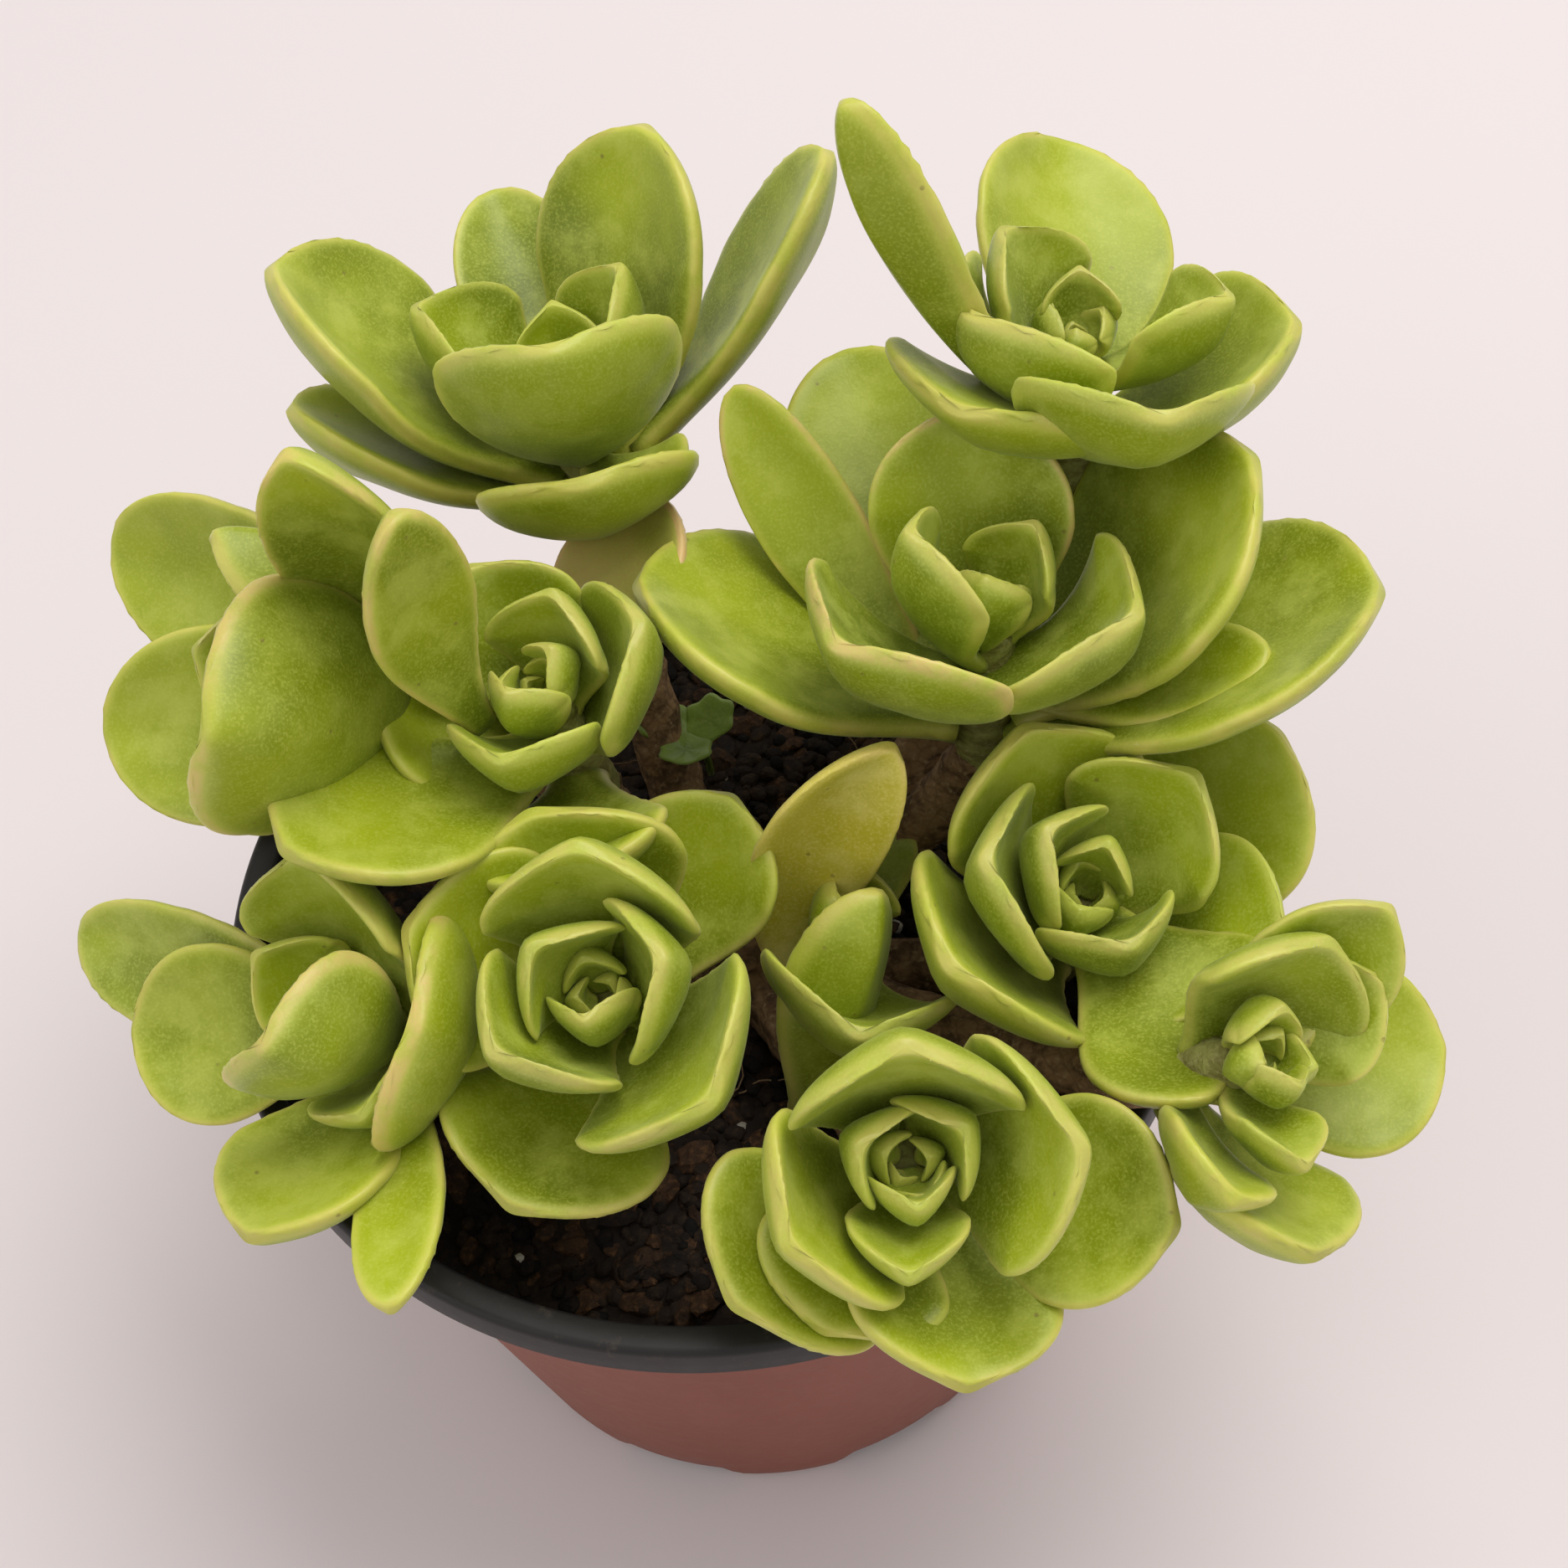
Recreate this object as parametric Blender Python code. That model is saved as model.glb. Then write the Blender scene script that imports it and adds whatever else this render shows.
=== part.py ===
"""Potted leaf succulent: a branching rosette plant in a small round nursery pot.

Metres, +Z up. The origin is the centre of the pot's underside and the plant's front faces -Y.
Each rosette is a heart (green stem tip grown together with its young leaves) and a whorl of
full-grown outer leaves, which are nodes of their own. The woody stems join below, in the soil.
"""

import math
import random
from functools import partial

import bmesh
import bpy
from mathutils import Vector
from mathutils.bvhtree import BVHTree

MM = 0.001

# Pot: a thin tapered shell with a rolled rim and low arches between the feet of its base.
POT_HEIGHT = 76 * MM
RIM_RADIUS = 54 * MM
RIM_DEPTH = 5 * MM
RIM_OVERHANG = 2.5 * MM
BASE_RADIUS = 35.5 * MM
WALL = 1.2 * MM
POT_SIDES = 40
ARCH_COUNT = 8
ARCH_WIDTH = 15 * MM
ARCH_HEIGHT = 2.2 * MM
ARCH_DEPTH = 4 * MM

# Soil: fills the pot to a little below the rim, with a lumpy top.
SOIL_TOP = 65 * MM
SOIL_LUMP = 1.2 * MM
SOIL_SIDES = 20

# Free space left between two pieces that touch on the real plant.
GAP = 0.3 * MM

# Stems: a short trunk in the soil, woody branches, and a green tip under each rosette.
TRUNK_RADIUS = 6.5 * MM
TRUNK_BOTTOM = 30 * MM
TRUNK_TOP = 71 * MM
BRANCH_RADIUS = 3.4 * MM
BRANCH_SIDES = 6
BRANCH_STEPS = 4
TIP_RADIUS = 3.0 * MM
TIP_LENGTH = 17

# Leaf growth rules, by a leaf's place in its rosette (0 is the youngest).
DROP_PER_LEAF = 1.3 * MM
WIDEST_LEAF = 28 * MM
WIDEST_AT = 0.68
PETIOLE_WIDTH = 0.28
LEAST_FOLD = 15
MOST_FOLD = 45
LEAST_CURL = 15
MOST_CURL = 40
EASING_PER_LEAF = 3
THINNEST = 2.6 * MM
THICKEST = 4.0 * MM
THICKENING_PER_LEAF = 0.2 * MM

OUTER_STATIONS = (0.0, 0.3, 0.6, 0.82, 0.95)
INNER_STATIONS = (0.0, 0.38, 0.75, 0.95)

# Weed seedling: a thin stalk with three lobed leaves, in front of the back rosettes.
SEEDLING_FOOT = Vector((1, 26, 66.5)) * MM
SEEDLING_TOP = Vector((-1, 24, 76.5)) * MM
SEEDLING_TURNS = (20, 150, 265)
SEEDLING_LOBE = 3.6 * MM
SEEDLING_NICK = 2.9 * MM

# Faces that meet at less than this angle are shaded as one smooth surface.
SMOOTH_BELOW = math.radians(50)


class Leaf:
    """One leaf: angles in degrees about its rosette's axis, sizes in millimetres."""

    def __init__(
        self, azimuth, lift, length, width=None, drop=None, reach=None, name=None, notch=0, twist=0, curl=0
    ):
        self.azimuth = azimuth
        self.lift = lift
        self.length = length
        self.width = width
        self.drop = drop
        self.reach = reach
        self.name = name
        self.notch = notch
        self.twist = twist
        self.curl = curl


class Rosette:
    """A rosette: where its crown is in millimetres, which way and how far it leans in degrees."""

    def __init__(self, name, crown, lean_toward, lean, inner, outer, tip=TIP_LENGTH):
        self.name = name
        self.tip = tip * MM
        self.crown = Vector(crown) * MM
        self.inner = inner
        self.outer = outer
        tilt, turn = math.radians(lean), math.radians(lean_toward)
        self.axis = Vector(
            (math.sin(tilt) * math.cos(turn), math.sin(tilt) * math.sin(turn), math.cos(tilt))
        )
        self.side = (Vector((1, 0, 0)) - self.axis * self.axis.x).normalized()
        self.up = self.axis.cross(self.side)


ROSETTES = (
    Rosette("front_left", (-11, -21, 92), 250, 25,
        [Leaf(268, 80, 11), Leaf(135, 72, 15, 18), Leaf(5, 66, 19, 20), Leaf(215, 64, 21, 22),
         Leaf(82, 60, 24, 25), Leaf(312, 50, 26, 27)],
        [Leaf(154, 44, 24), Leaf(56, 12, 23, 20, drop=12), Leaf(240, 32, 24, 26), Leaf(103, 48, 25)]),
    Rosette("centre_right", (33, 11, 104), 60, 12,
        [Leaf(240, 80, 10), Leaf(40, 72, 14, 15), Leaf(190, 65, 20, 20), Leaf(345, 40, 18, 21),
         Leaf(206, 46, 26), Leaf(93, 60, 26)],
        [Leaf(328, 22, 28, 29), Leaf(130, 56, 33), Leaf(36, 44, 33, 29), Leaf(168, 28, 33),
         Leaf(15, 14, 37, 29), Leaf(128, 40, 38, 22, reach=8)]),
    Rosette("mid_left", (-14, 9, 103), 200, 10,
        [Leaf(20, 80, 9), Leaf(240, 75, 11, 12), Leaf(60, 65, 15, 17), Leaf(255, 50, 17, 19),
         Leaf(114, 52, 20, 21), Leaf(4, 55, 20, 22), Leaf(46, 40, 23, 22)],
        [Leaf(164, 44, 22, 24), Leaf(268, 28, 23, 24), Leaf(142, 66, 31, 20),
         Leaf(216, 30, 33, 25, drop=5)]),
    Rosette("mid_right", (39, -13, 87), 300, 15,
        [Leaf(60, 80, 10), Leaf(150, 72, 16, 18), Leaf(281, 60, 16, 18), Leaf(38, 52, 21),
         Leaf(178, 60, 22), Leaf(334, 36, 24)],
        [Leaf(110, 55, 24), Leaf(210, 50, 26), Leaf(35, 30, 30),
         Leaf(294, 20, 28, name="notched_leaf", notch=4)]),
    Rosette("front_centre", (17, -43, 91), 272, 32,
        [Leaf(270, 75, 10), Leaf(150, 70, 12), Leaf(30, 68, 13), Leaf(262, 55, 16, 14),
         Leaf(88, 65, 24), Leaf(0, 52, 24)],
        [Leaf(205, 60, 22), Leaf(297, 22, 24), Leaf(346, 28, 27), Leaf(213, 34, 23),
         Leaf(262, 30, 20, drop=8)]),
    Rosette("front_right", (51, -37, 92), 328, 42,
        [Leaf(270, 75, 8), Leaf(90, 70, 9), Leaf(270, 45, 14, 12), Leaf(28, 48, 18, 17),
         Leaf(50, 50, 24, 17), Leaf(70, 62, 20)],
        [Leaf(210, 45, 20), Leaf(0, 28, 26, 22), Leaf(264, 38, 20, 21)],
        tip=13),
    Rosette("left_low", (-37, -16, 86), 200, 35,
        [Leaf(200, 75, 9), Leaf(130, 60, 14), Leaf(300, 70, 25, 23), Leaf(68, 55, 23),
         Leaf(285, 42, 16), Leaf(142, 16, 34, 17)],
        [Leaf(172, 22, 23), Leaf(236, 20, 22), Leaf(335, 55, 25), Leaf(274, 8, 27, 18, drop=6)]),
    Rosette("left", (-35, 19, 97), 190, 66,
        [Leaf(90, 80, 9), Leaf(135, 66, 20), Leaf(60, 55, 30)],
        [Leaf(330, 58, 32, 30, drop=4), Leaf(28, 64, 33, 26, drop=2), Leaf(105, 44, 34),
         Leaf(184, 45, 36)]),
    Rosette("back_left", (-9, 47, 108), 100, 20,
        [Leaf(90, 80, 12), Leaf(20, 65, 18), Leaf(167, 50, 22), Leaf(258, 55, 28, 30),
         Leaf(115, 55, 30), Leaf(310, 5, 14)],
        [Leaf(154, 38, 36), Leaf(60, 60, 33), Leaf(190, 24, 31), Leaf(275, 35, 24),
         Leaf(26, 44, 37, drop=7, reach=6)]),
    Rosette("back_right", (46, 36, 117), 70, 18,
        [Leaf(90, 80, 10), Leaf(335, 40, 19), Leaf(140, 60, 18), Leaf(215, 60, 24),
         Leaf(295, 38, 26)],
        [Leaf(92, 55, 30), Leaf(0, 35, 24), Leaf(166, 54, 35, drop=6), Leaf(225, 35, 28, drop=10)]),
    Rosette("middle", (15, -9, 78), 30, 20,
        [Leaf(90, 80, 9), Leaf(210, 70, 12), Leaf(260, 30, 24), Leaf(100, 30, 20)],
        [Leaf(150, 80, 29, curl=60, name="old_yellow_leaf"), Leaf(215, 70, 29, twist=-45)]),
)


def clear_scene():
    for obj in list(bpy.data.objects):
        bpy.data.objects.remove(obj, do_unlink=True)


def material(name, colour, roughness):
    made = bpy.data.materials.new(name)
    made.use_nodes = True
    shader = made.node_tree.nodes["Principled BSDF"]
    shader.inputs["Base Color"].default_value = (*colour, 1.0)
    shader.inputs["Roughness"].default_value = roughness
    return made


def object_from(name, bm, finish=None):
    """A mesh object from a bmesh, which is freed, with its faces turned outward."""
    bmesh.ops.recalc_face_normals(bm, faces=bm.faces)
    mesh = bpy.data.meshes.new(name)
    bm.to_mesh(mesh)
    bm.free()
    if finish is not None:
        mesh.materials.append(finish)
    made = bpy.data.objects.new(name, mesh)
    bpy.context.scene.collection.objects.link(made)
    return made


def add_rings(bm, rings):
    """Skins a list of rings, each a list of points, into one closed body with flat ends.

    The sides are triangles, so that a twisted panel has one shape in every Boolean.
    """
    made = [[bm.verts.new(point) for point in ring] for ring in rings]
    for low, high in zip(made, made[1:]):
        for i in range(len(low)):
            j = (i + 1) % len(low)
            bm.faces.new((low[i], low[j], high[j]))
            bm.faces.new((low[i], high[j], high[i]))
    bm.faces.new(made[0][::-1])
    bm.faces.new(made[-1])


def boolean(target, other, operation):
    """Applies one Boolean to the target at once.

    EXACT loses pieces where leaf bases nearly coincide, so the solver is MANIFOLD.
    """
    step = target.modifiers.new("step", "BOOLEAN")
    step.operation = operation
    step.solver = "MANIFOLD"
    step.object = other
    bpy.context.view_layer.update()
    graph = bpy.context.evaluated_depsgraph_get()
    result = bpy.data.meshes.new_from_object(target.evaluated_get(graph))
    target.modifiers.remove(step)
    old = target.data
    target.data = result
    bpy.data.meshes.remove(old)


def keep_largest_body(obj):
    """Drops the crumbs that a cut leaves beside a piece, and turns its faces outward."""
    bm = bmesh.new()
    bm.from_mesh(obj.data)
    bodies = []
    waiting = set(bm.faces)
    while waiting:
        front = [waiting.pop()]
        body = []
        while front:
            face = front.pop()
            body.append(face)
            joined = {other for edge in face.edges for other in edge.link_faces} & waiting
            waiting -= joined
            front += joined
        bodies.append(body)
    bodies.sort(key=lambda faces: sum(face.calc_area() for face in faces))
    crumbs = [face for body in bodies[:-1] for face in body]
    bmesh.ops.delete(bm, geom=crumbs, context="FACES")
    bmesh.ops.recalc_face_normals(bm, faces=bm.faces)
    bm.to_mesh(obj.data)
    bm.free()


def tree_of(obj):
    bm = bmesh.new()
    bm.from_mesh(obj.data)
    tree = BVHTree.FromBMesh(bm)
    bm.free()
    return tree


def build_clear_of_neighbours(makers):
    """Builds each piece and cuts it back from every earlier one, which keeps its shape.

    A maker builds its piece grown by a distance: 0 for the piece itself, GAP for the cutter that
    keeps later pieces off it.
    """
    kept = []
    for maker in makers:
        node = maker(0.0)
        for cutter, cutter_tree in kept:
            if tree_of(node).overlap(cutter_tree):
                boolean(node, cutter, "DIFFERENCE")
        keep_largest_body(node)
        node.data.shade_smooth()
        node.data.set_sharp_from_angle(angle=SMOOTH_BELOW)
        cutter = maker(GAP)
        cutter.hide_render = True
        cutter.display_type = "WIRE"
        kept.append((cutter, tree_of(cutter)))
    for cutter, _ in kept:
        bpy.data.objects.remove(cutter, do_unlink=True)


# ------------------------------------------------------------------ pot and soil


def pot_radius(height):
    """The pot wall's outer radius at a height."""
    top = RIM_RADIUS - RIM_OVERHANG
    return BASE_RADIUS + (top - BASE_RADIUS) * height / POT_HEIGHT


def revolve(bm, profile, sides):
    """Turns a closed profile of (radius, height) points about Z, where radius 0 is the axis."""
    columns = []
    for k in range(sides):
        turn = 2 * math.pi * k / sides
        column = []
        for radius, height in profile:
            if radius == 0 and columns:
                column.append(columns[0][len(column)])
            else:
                column.append(bm.verts.new((radius * math.cos(turn), radius * math.sin(turn), height)))
        columns.append(column)
    for k, column in enumerate(columns):
        following = columns[(k + 1) % sides]
        for i in range(len(profile)):
            j = (i + 1) % len(profile)
            corners = list(dict.fromkeys((column[i], following[i], following[j], column[j])))
            if len(corners) > 2:
                bm.faces.new(corners)


def make_pot(finish, grow):
    """The pot shell. Its wall is thin and stands clear of the rest, so it grows by nothing."""
    wall_top = POT_HEIGHT - WALL
    profile = [
        (0, 0),
        (BASE_RADIUS - 1.5 * MM, 0),
        (BASE_RADIUS, 1.5 * MM),
        (pot_radius(POT_HEIGHT - RIM_DEPTH), POT_HEIGHT - RIM_DEPTH),
        (pot_radius(wall_top), wall_top),
        (RIM_RADIUS - WALL, wall_top),
        (RIM_RADIUS - WALL, POT_HEIGHT - RIM_DEPTH),
        (RIM_RADIUS, POT_HEIGHT - RIM_DEPTH),
        (RIM_RADIUS, POT_HEIGHT - 0.8 * MM),
        (RIM_RADIUS - 0.8 * MM, POT_HEIGHT),
        (pot_radius(POT_HEIGHT) - WALL, POT_HEIGHT),
        (BASE_RADIUS - WALL, WALL),
        (0, WALL),
    ]
    bm = bmesh.new()
    revolve(bm, profile, POT_SIDES)
    pot = object_from("nursery_pot", bm, finish)
    for k in range(ARCH_COUNT):
        arch = make_arch_cutter(2 * math.pi * (k + 0.5) / ARCH_COUNT)
        boolean(pot, arch, "DIFFERENCE")
        bpy.data.objects.remove(arch, do_unlink=True)
    return pot


def make_arch_cutter(turn):
    """A low wedge with a rounded back, laid across the pot's bottom corner."""
    outward = Vector((math.cos(turn), math.sin(turn), 0))
    along = Vector((-math.sin(turn), math.cos(turn), 0))
    outline = [(-0.5, -1.0), (0.5, -1.0), (0.4, 0.6), (0.2, 1.0), (-0.2, 1.0), (-0.4, 0.6)]
    rings = []
    for distance in (BASE_RADIUS - ARCH_DEPTH, BASE_RADIUS + ARCH_DEPTH):
        rings.append(
            [
                outward * distance + along * across * ARCH_WIDTH + Vector((0, 0, rise * ARCH_HEIGHT))
                for across, rise in outline
            ]
        )
    bm = bmesh.new()
    add_rings(bm, rings)
    return object_from("arch_cutter", bm)


def make_soil(finish, grow):
    """The soil body, a gap inside the pot's wall, with a lumpy top. It is built last."""
    rng = random.Random(4)
    spread = pot_radius(SOIL_TOP) - WALL - GAP * 2
    turns = [2 * math.pi * k / SOIL_SIDES for k in range(SOIL_SIDES)]
    foot = [(BASE_RADIUS - WALL - GAP * 2, WALL + GAP, 0), (spread - GAP, SOIL_TOP - 2 * MM, 0)]
    top = [(spread * share, SOIL_TOP, SOIL_LUMP) for share in (0.94, 0.7, 0.4, 0.15)]
    rings = []
    for radius, height, lump in foot + top:
        rings.append(
            [
                Vector((radius * math.cos(a), radius * math.sin(a), height + rng.uniform(-lump, lump)))
                for a in turns
            ]
        )
    bm = bmesh.new()
    add_rings(bm, rings)
    return object_from("soil", bm, finish)


# ------------------------------------------------------------------ plant


def curve_point(start, control, end, t):
    return start * (1 - t) ** 2 + control * 2 * t * (1 - t) + end * t**2


def tube(bm, path, radii, sides):
    """Skins a closed round tube along a path, with one radius for each point."""
    rings = []
    for i, (centre, radius) in enumerate(zip(path, radii)):
        ahead = (path[min(i + 1, len(path) - 1)] - path[max(i - 1, 0)]).normalized()
        across = ahead.orthogonal() if i == 0 else across - ahead * across.dot(ahead)
        across.normalize()
        other = ahead.cross(across)
        turns = [2 * math.pi * k / sides for k in range(sides)]
        rings.append([centre + (across * math.cos(a) + other * math.sin(a)) * radius for a in turns])
    add_rings(bm, rings)


def make_stems(finish, grow):
    """The trunk and one branch to the foot of each rosette's green tip, as one body."""
    trunk_bm = bmesh.new()
    heights = (TRUNK_BOTTOM, SOIL_TOP, TRUNK_TOP)
    path = [Vector((2 * MM, 0, height)) for height in heights]
    tube(trunk_bm, path, [TRUNK_RADIUS * share + grow for share in (0.6, 1, 1)], 9)
    stems = object_from("woody_stems", trunk_bm, finish)
    for rosette in ROSETTES:
        foot = rosette.crown - rosette.axis * (rosette.tip + GAP)
        start = Vector((2 * MM + foot.x * 0.05, foot.y * 0.05, TRUNK_TOP - 5 * MM))
        control = Vector((foot.x * 0.75, foot.y * 0.75, min(foot.z - 6 * MM, TRUNK_TOP + 2 * MM)))
        steps = [i / BRANCH_STEPS for i in range(BRANCH_STEPS + 1)]
        path = [curve_point(start, control, foot, t) for t in steps]
        radii = [BRANCH_RADIUS + (TIP_RADIUS - BRANCH_RADIUS) * t + grow for t in steps]
        bm = bmesh.new()
        tube(bm, path, radii, BRANCH_SIDES)
        branch = object_from(rosette.name + "_branch", bm)
        boolean(stems, branch, "UNION")
        bpy.data.objects.remove(branch, do_unlink=True)
    return stems


def half_width(u):
    """A leaf's half width at a fraction u of its length, as a fraction of its widest half."""
    if u < WIDEST_AT:
        k = u / WIDEST_AT
        return PETIOLE_WIDTH + (1 - PETIOLE_WIDTH) * (k * k * (3 - 2 * k)) ** 0.9
    k = (u - WIDEST_AT) / (1 - WIDEST_AT)
    return (1 - k**2.3) ** (1 / 1.35)


def leaf_rings(rosette, leaf, place, stations, start, grow):
    """A leaf's cross sections: a blunt-edged, folded blade that curls in toward the axis."""
    length = leaf.length * MM
    width = leaf.width * MM if leaf.width else min(1.02 * length + 1 * MM, WIDEST_LEAF)
    drop = leaf.drop * MM if leaf.drop is not None else place * DROP_PER_LEAF
    reach = leaf.reach * MM if leaf.reach else start
    fold = math.radians(max(LEAST_FOLD, MOST_FOLD - EASING_PER_LEAF * place))
    curl = math.radians(leaf.curl or max(LEAST_CURL, MOST_CURL - EASING_PER_LEAF * place))
    twist = math.radians(leaf.twist)
    thick = min(THICKEST, THINNEST + THICKENING_PER_LEAF * place)
    turn = math.radians(leaf.azimuth)
    outward = rosette.side * math.cos(turn) + rosette.up * math.sin(turn)
    across = rosette.axis.cross(outward)
    base = rosette.crown - rosette.axis * drop + outward * reach
    first = math.radians(leaf.lift) - curl / 2
    rings = []
    for u in stations:
        angle = first + curl * u
        run = (math.sin(angle) - math.sin(first)) / curl
        rise = (math.cos(first) - math.cos(angle)) / curl
        centre = base + (outward * run + rosette.axis * rise) * length
        facing = rosette.axis * math.cos(angle) - outward * math.sin(angle)
        side = across * math.cos(twist) + facing * math.sin(twist)
        normal = facing * math.cos(twist) - across * math.sin(twist)
        half = half_width(u) * width / 2 + grow
        bend = fold * min(1.0, 1.6 * u)
        edge = thick * (0.42 - 0.14 * u) + grow
        middle = thick * (0.5 - 0.08 * u) + grow
        spread = half * math.cos(bend)
        lifted = half * math.sin(bend) * 0.82
        section = [(-spread, lifted + edge), (0, middle), (spread, lifted + edge)]
        section += [(spread, lifted - edge), (0, -middle), (-spread, lifted - edge)]
        rings.append([centre + side * x + normal * z for x, z in section])
    return rings


def make_leaf(name, rosette, leaf, place, stations, start, finish, grow):
    bm = bmesh.new()
    add_rings(bm, leaf_rings(rosette, leaf, place, stations, start, grow))
    made = object_from(name, bm, finish)
    if leaf.notch and not grow:
        cut_notch(made, rosette, leaf, place, start)
    return made


def cut_notch(obj, rosette, leaf, place, start):
    """Cuts a heart-like notch into the middle of a leaf's tip."""
    tip_ring = leaf_rings(rosette, leaf, place, (0.96, 1.0), start, 0.0)
    centre = (tip_ring[0][1] + tip_ring[0][4]) / 2
    through = (tip_ring[0][1] - tip_ring[0][4]).normalized()
    bm = bmesh.new()
    tube(bm, [centre - through * 6 * MM, centre + through * 6 * MM], (leaf.notch * MM,) * 2, 8)
    cutter = object_from("notch_cutter", bm)
    boolean(obj, cutter, "DIFFERENCE")
    bpy.data.objects.remove(cutter, do_unlink=True)


def make_heart(rosette, finish, grow):
    """The green stem tip and the rosette's young leaves, grown together as one body."""
    top = rosette.crown + rosette.axis * 1.5 * MM
    foot = rosette.crown - rosette.axis * rosette.tip
    bm = bmesh.new()
    radii = [TIP_RADIUS * share + grow for share in (1, 1, 0.5)]
    tube(bm, [foot, rosette.crown, top], radii, 8)
    heart = object_from(rosette.name + "_heart", bm, finish)
    for place, leaf in enumerate(rosette.inner):
        start = TIP_RADIUS * 0.4
        part = make_leaf("young_leaf", rosette, leaf, place, INNER_STATIONS, start, None, grow)
        boolean(heart, part, "UNION")
        bpy.data.objects.remove(part, do_unlink=True)
    return heart


def outer_leaf_maker(rosette, count, green, yellow):
    """The maker of one outer leaf of a rosette, by its count in the whorl."""
    leaf = rosette.outer[count]
    place = len(rosette.inner) + count
    name = leaf.name or f"{rosette.name}_leaf_{count + 1}"
    finish = yellow if leaf.name == "old_yellow_leaf" else green
    start = TIP_RADIUS + GAP
    return partial(make_leaf, name, rosette, leaf, place, OUTER_STATIONS, start, finish)


def make_seedling(finish, grow):
    """The weed seedling as one body. Only its stalk grows, since its leaves stand clear."""
    bm = bmesh.new()
    tube(bm, [SEEDLING_FOOT, SEEDLING_TOP], (0.8 * MM + grow, 0.6 * MM + grow), 5)
    seedling = object_from("weed_seedling", bm, finish)
    for turn in SEEDLING_TURNS:
        leaf = make_seedling_leaf(math.radians(turn))
        boolean(seedling, leaf, "UNION")
        bpy.data.objects.remove(leaf, do_unlink=True)
    return seedling


def make_seedling_leaf(turn):
    """One flat leaf with six lobes, rising away from the top of the stalk."""
    lean = Vector((math.cos(turn), math.sin(turn), 0.3)).normalized()
    side = lean.cross(Vector((0, 0, 1))).normalized()
    half_thick = side.cross(lean) * 0.4 * MM
    outline = []
    for k in range(12):
        around = math.pi * k / 6
        radius = SEEDLING_LOBE if k % 2 else SEEDLING_NICK
        out = radius * math.cos(around) + 3.2 * MM
        outline.append(SEEDLING_TOP + lean * out + side * radius * math.sin(around))
    bm = bmesh.new()
    add_rings(bm, [[p - half_thick for p in outline], [p + half_thick for p in outline]])
    return object_from("seedling_leaf", bm)


def main():
    clear_scene()
    terracotta = material("pot_plastic", (0.42, 0.14, 0.09), 0.6)
    earth = material("potting_mix", (0.03, 0.02, 0.015), 0.95)
    bark = material("woody_stem", (0.28, 0.17, 0.09), 0.85)
    green = material("leaf_green", (0.30, 0.45, 0.08), 0.5)
    young = material("young_leaf_green", (0.36, 0.50, 0.10), 0.5)
    yellow = material("old_leaf_yellow", (0.62, 0.55, 0.14), 0.55)
    weed = material("seedling_green", (0.12, 0.30, 0.06), 0.6)
    makers = [partial(make_pot, terracotta), partial(make_stems, bark)]
    makers += [partial(make_heart, rosette, young) for rosette in ROSETTES]
    for count in range(max(len(rosette.outer) for rosette in ROSETTES)):
        for rosette in ROSETTES:
            if count < len(rosette.outer):
                makers.append(outer_leaf_maker(rosette, count, green, yellow))
    makers += [partial(make_seedling, weed), partial(make_soil, earth)]
    build_clear_of_neighbours(makers)


main()
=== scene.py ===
"""Looks of a potted leaf succulent: fleshy rosettes, woody stems, bark mix and a nursery pot.

Metres, +Z up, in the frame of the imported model. Each rosette row below repeats the driving sizes of
the solid model, and fine leaves, stems, soil and pot pieces stand for its nodes.
"""

import sys

import logging
import math
from dataclasses import dataclass, field
from enum import Enum
from typing import Callable, Optional, Sequence

import bpy
import numpy as np
from mathutils import Matrix, Vector

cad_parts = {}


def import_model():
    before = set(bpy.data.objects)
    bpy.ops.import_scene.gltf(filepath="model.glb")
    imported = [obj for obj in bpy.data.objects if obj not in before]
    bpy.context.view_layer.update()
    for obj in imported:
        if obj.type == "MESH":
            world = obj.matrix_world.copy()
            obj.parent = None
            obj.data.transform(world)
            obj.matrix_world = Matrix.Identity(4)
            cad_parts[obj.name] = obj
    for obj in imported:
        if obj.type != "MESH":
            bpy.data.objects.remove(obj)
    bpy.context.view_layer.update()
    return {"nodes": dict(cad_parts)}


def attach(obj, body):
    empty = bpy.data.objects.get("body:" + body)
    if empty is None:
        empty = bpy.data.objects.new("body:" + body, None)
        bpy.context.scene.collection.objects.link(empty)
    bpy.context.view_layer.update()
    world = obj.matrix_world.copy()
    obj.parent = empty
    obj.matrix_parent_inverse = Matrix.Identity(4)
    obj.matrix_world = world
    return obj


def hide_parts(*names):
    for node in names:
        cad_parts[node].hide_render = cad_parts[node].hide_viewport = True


LOG = logging.getLogger("succulent")
MM = 0.001

Array = np.ndarray
Colour = tuple[float, float, float]
Faces = list[tuple[int, ...]]
Feed = bpy.types.NodeSocket | float | tuple


# ------------------------------------------------------------------ small helpers


def unit(vector: Array) -> Array:
    """Scales a vector to length one."""
    return vector / np.linalg.norm(vector)


def smoothstep(low: float, high: float, value: Array | float) -> Array | float:
    """Rises smoothly from 0 at low to 1 at high.

    Args:
        low: Where the rise starts.
        high: Where it ends.
        value: One value or an array of them.

    Returns:
        The eased value or values, from 0 to 1.
    """
    k = np.clip((np.asarray(value, float) - low) / (high - low), 0.0, 1.0)
    return k * k * (3 - 2 * k)


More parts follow.
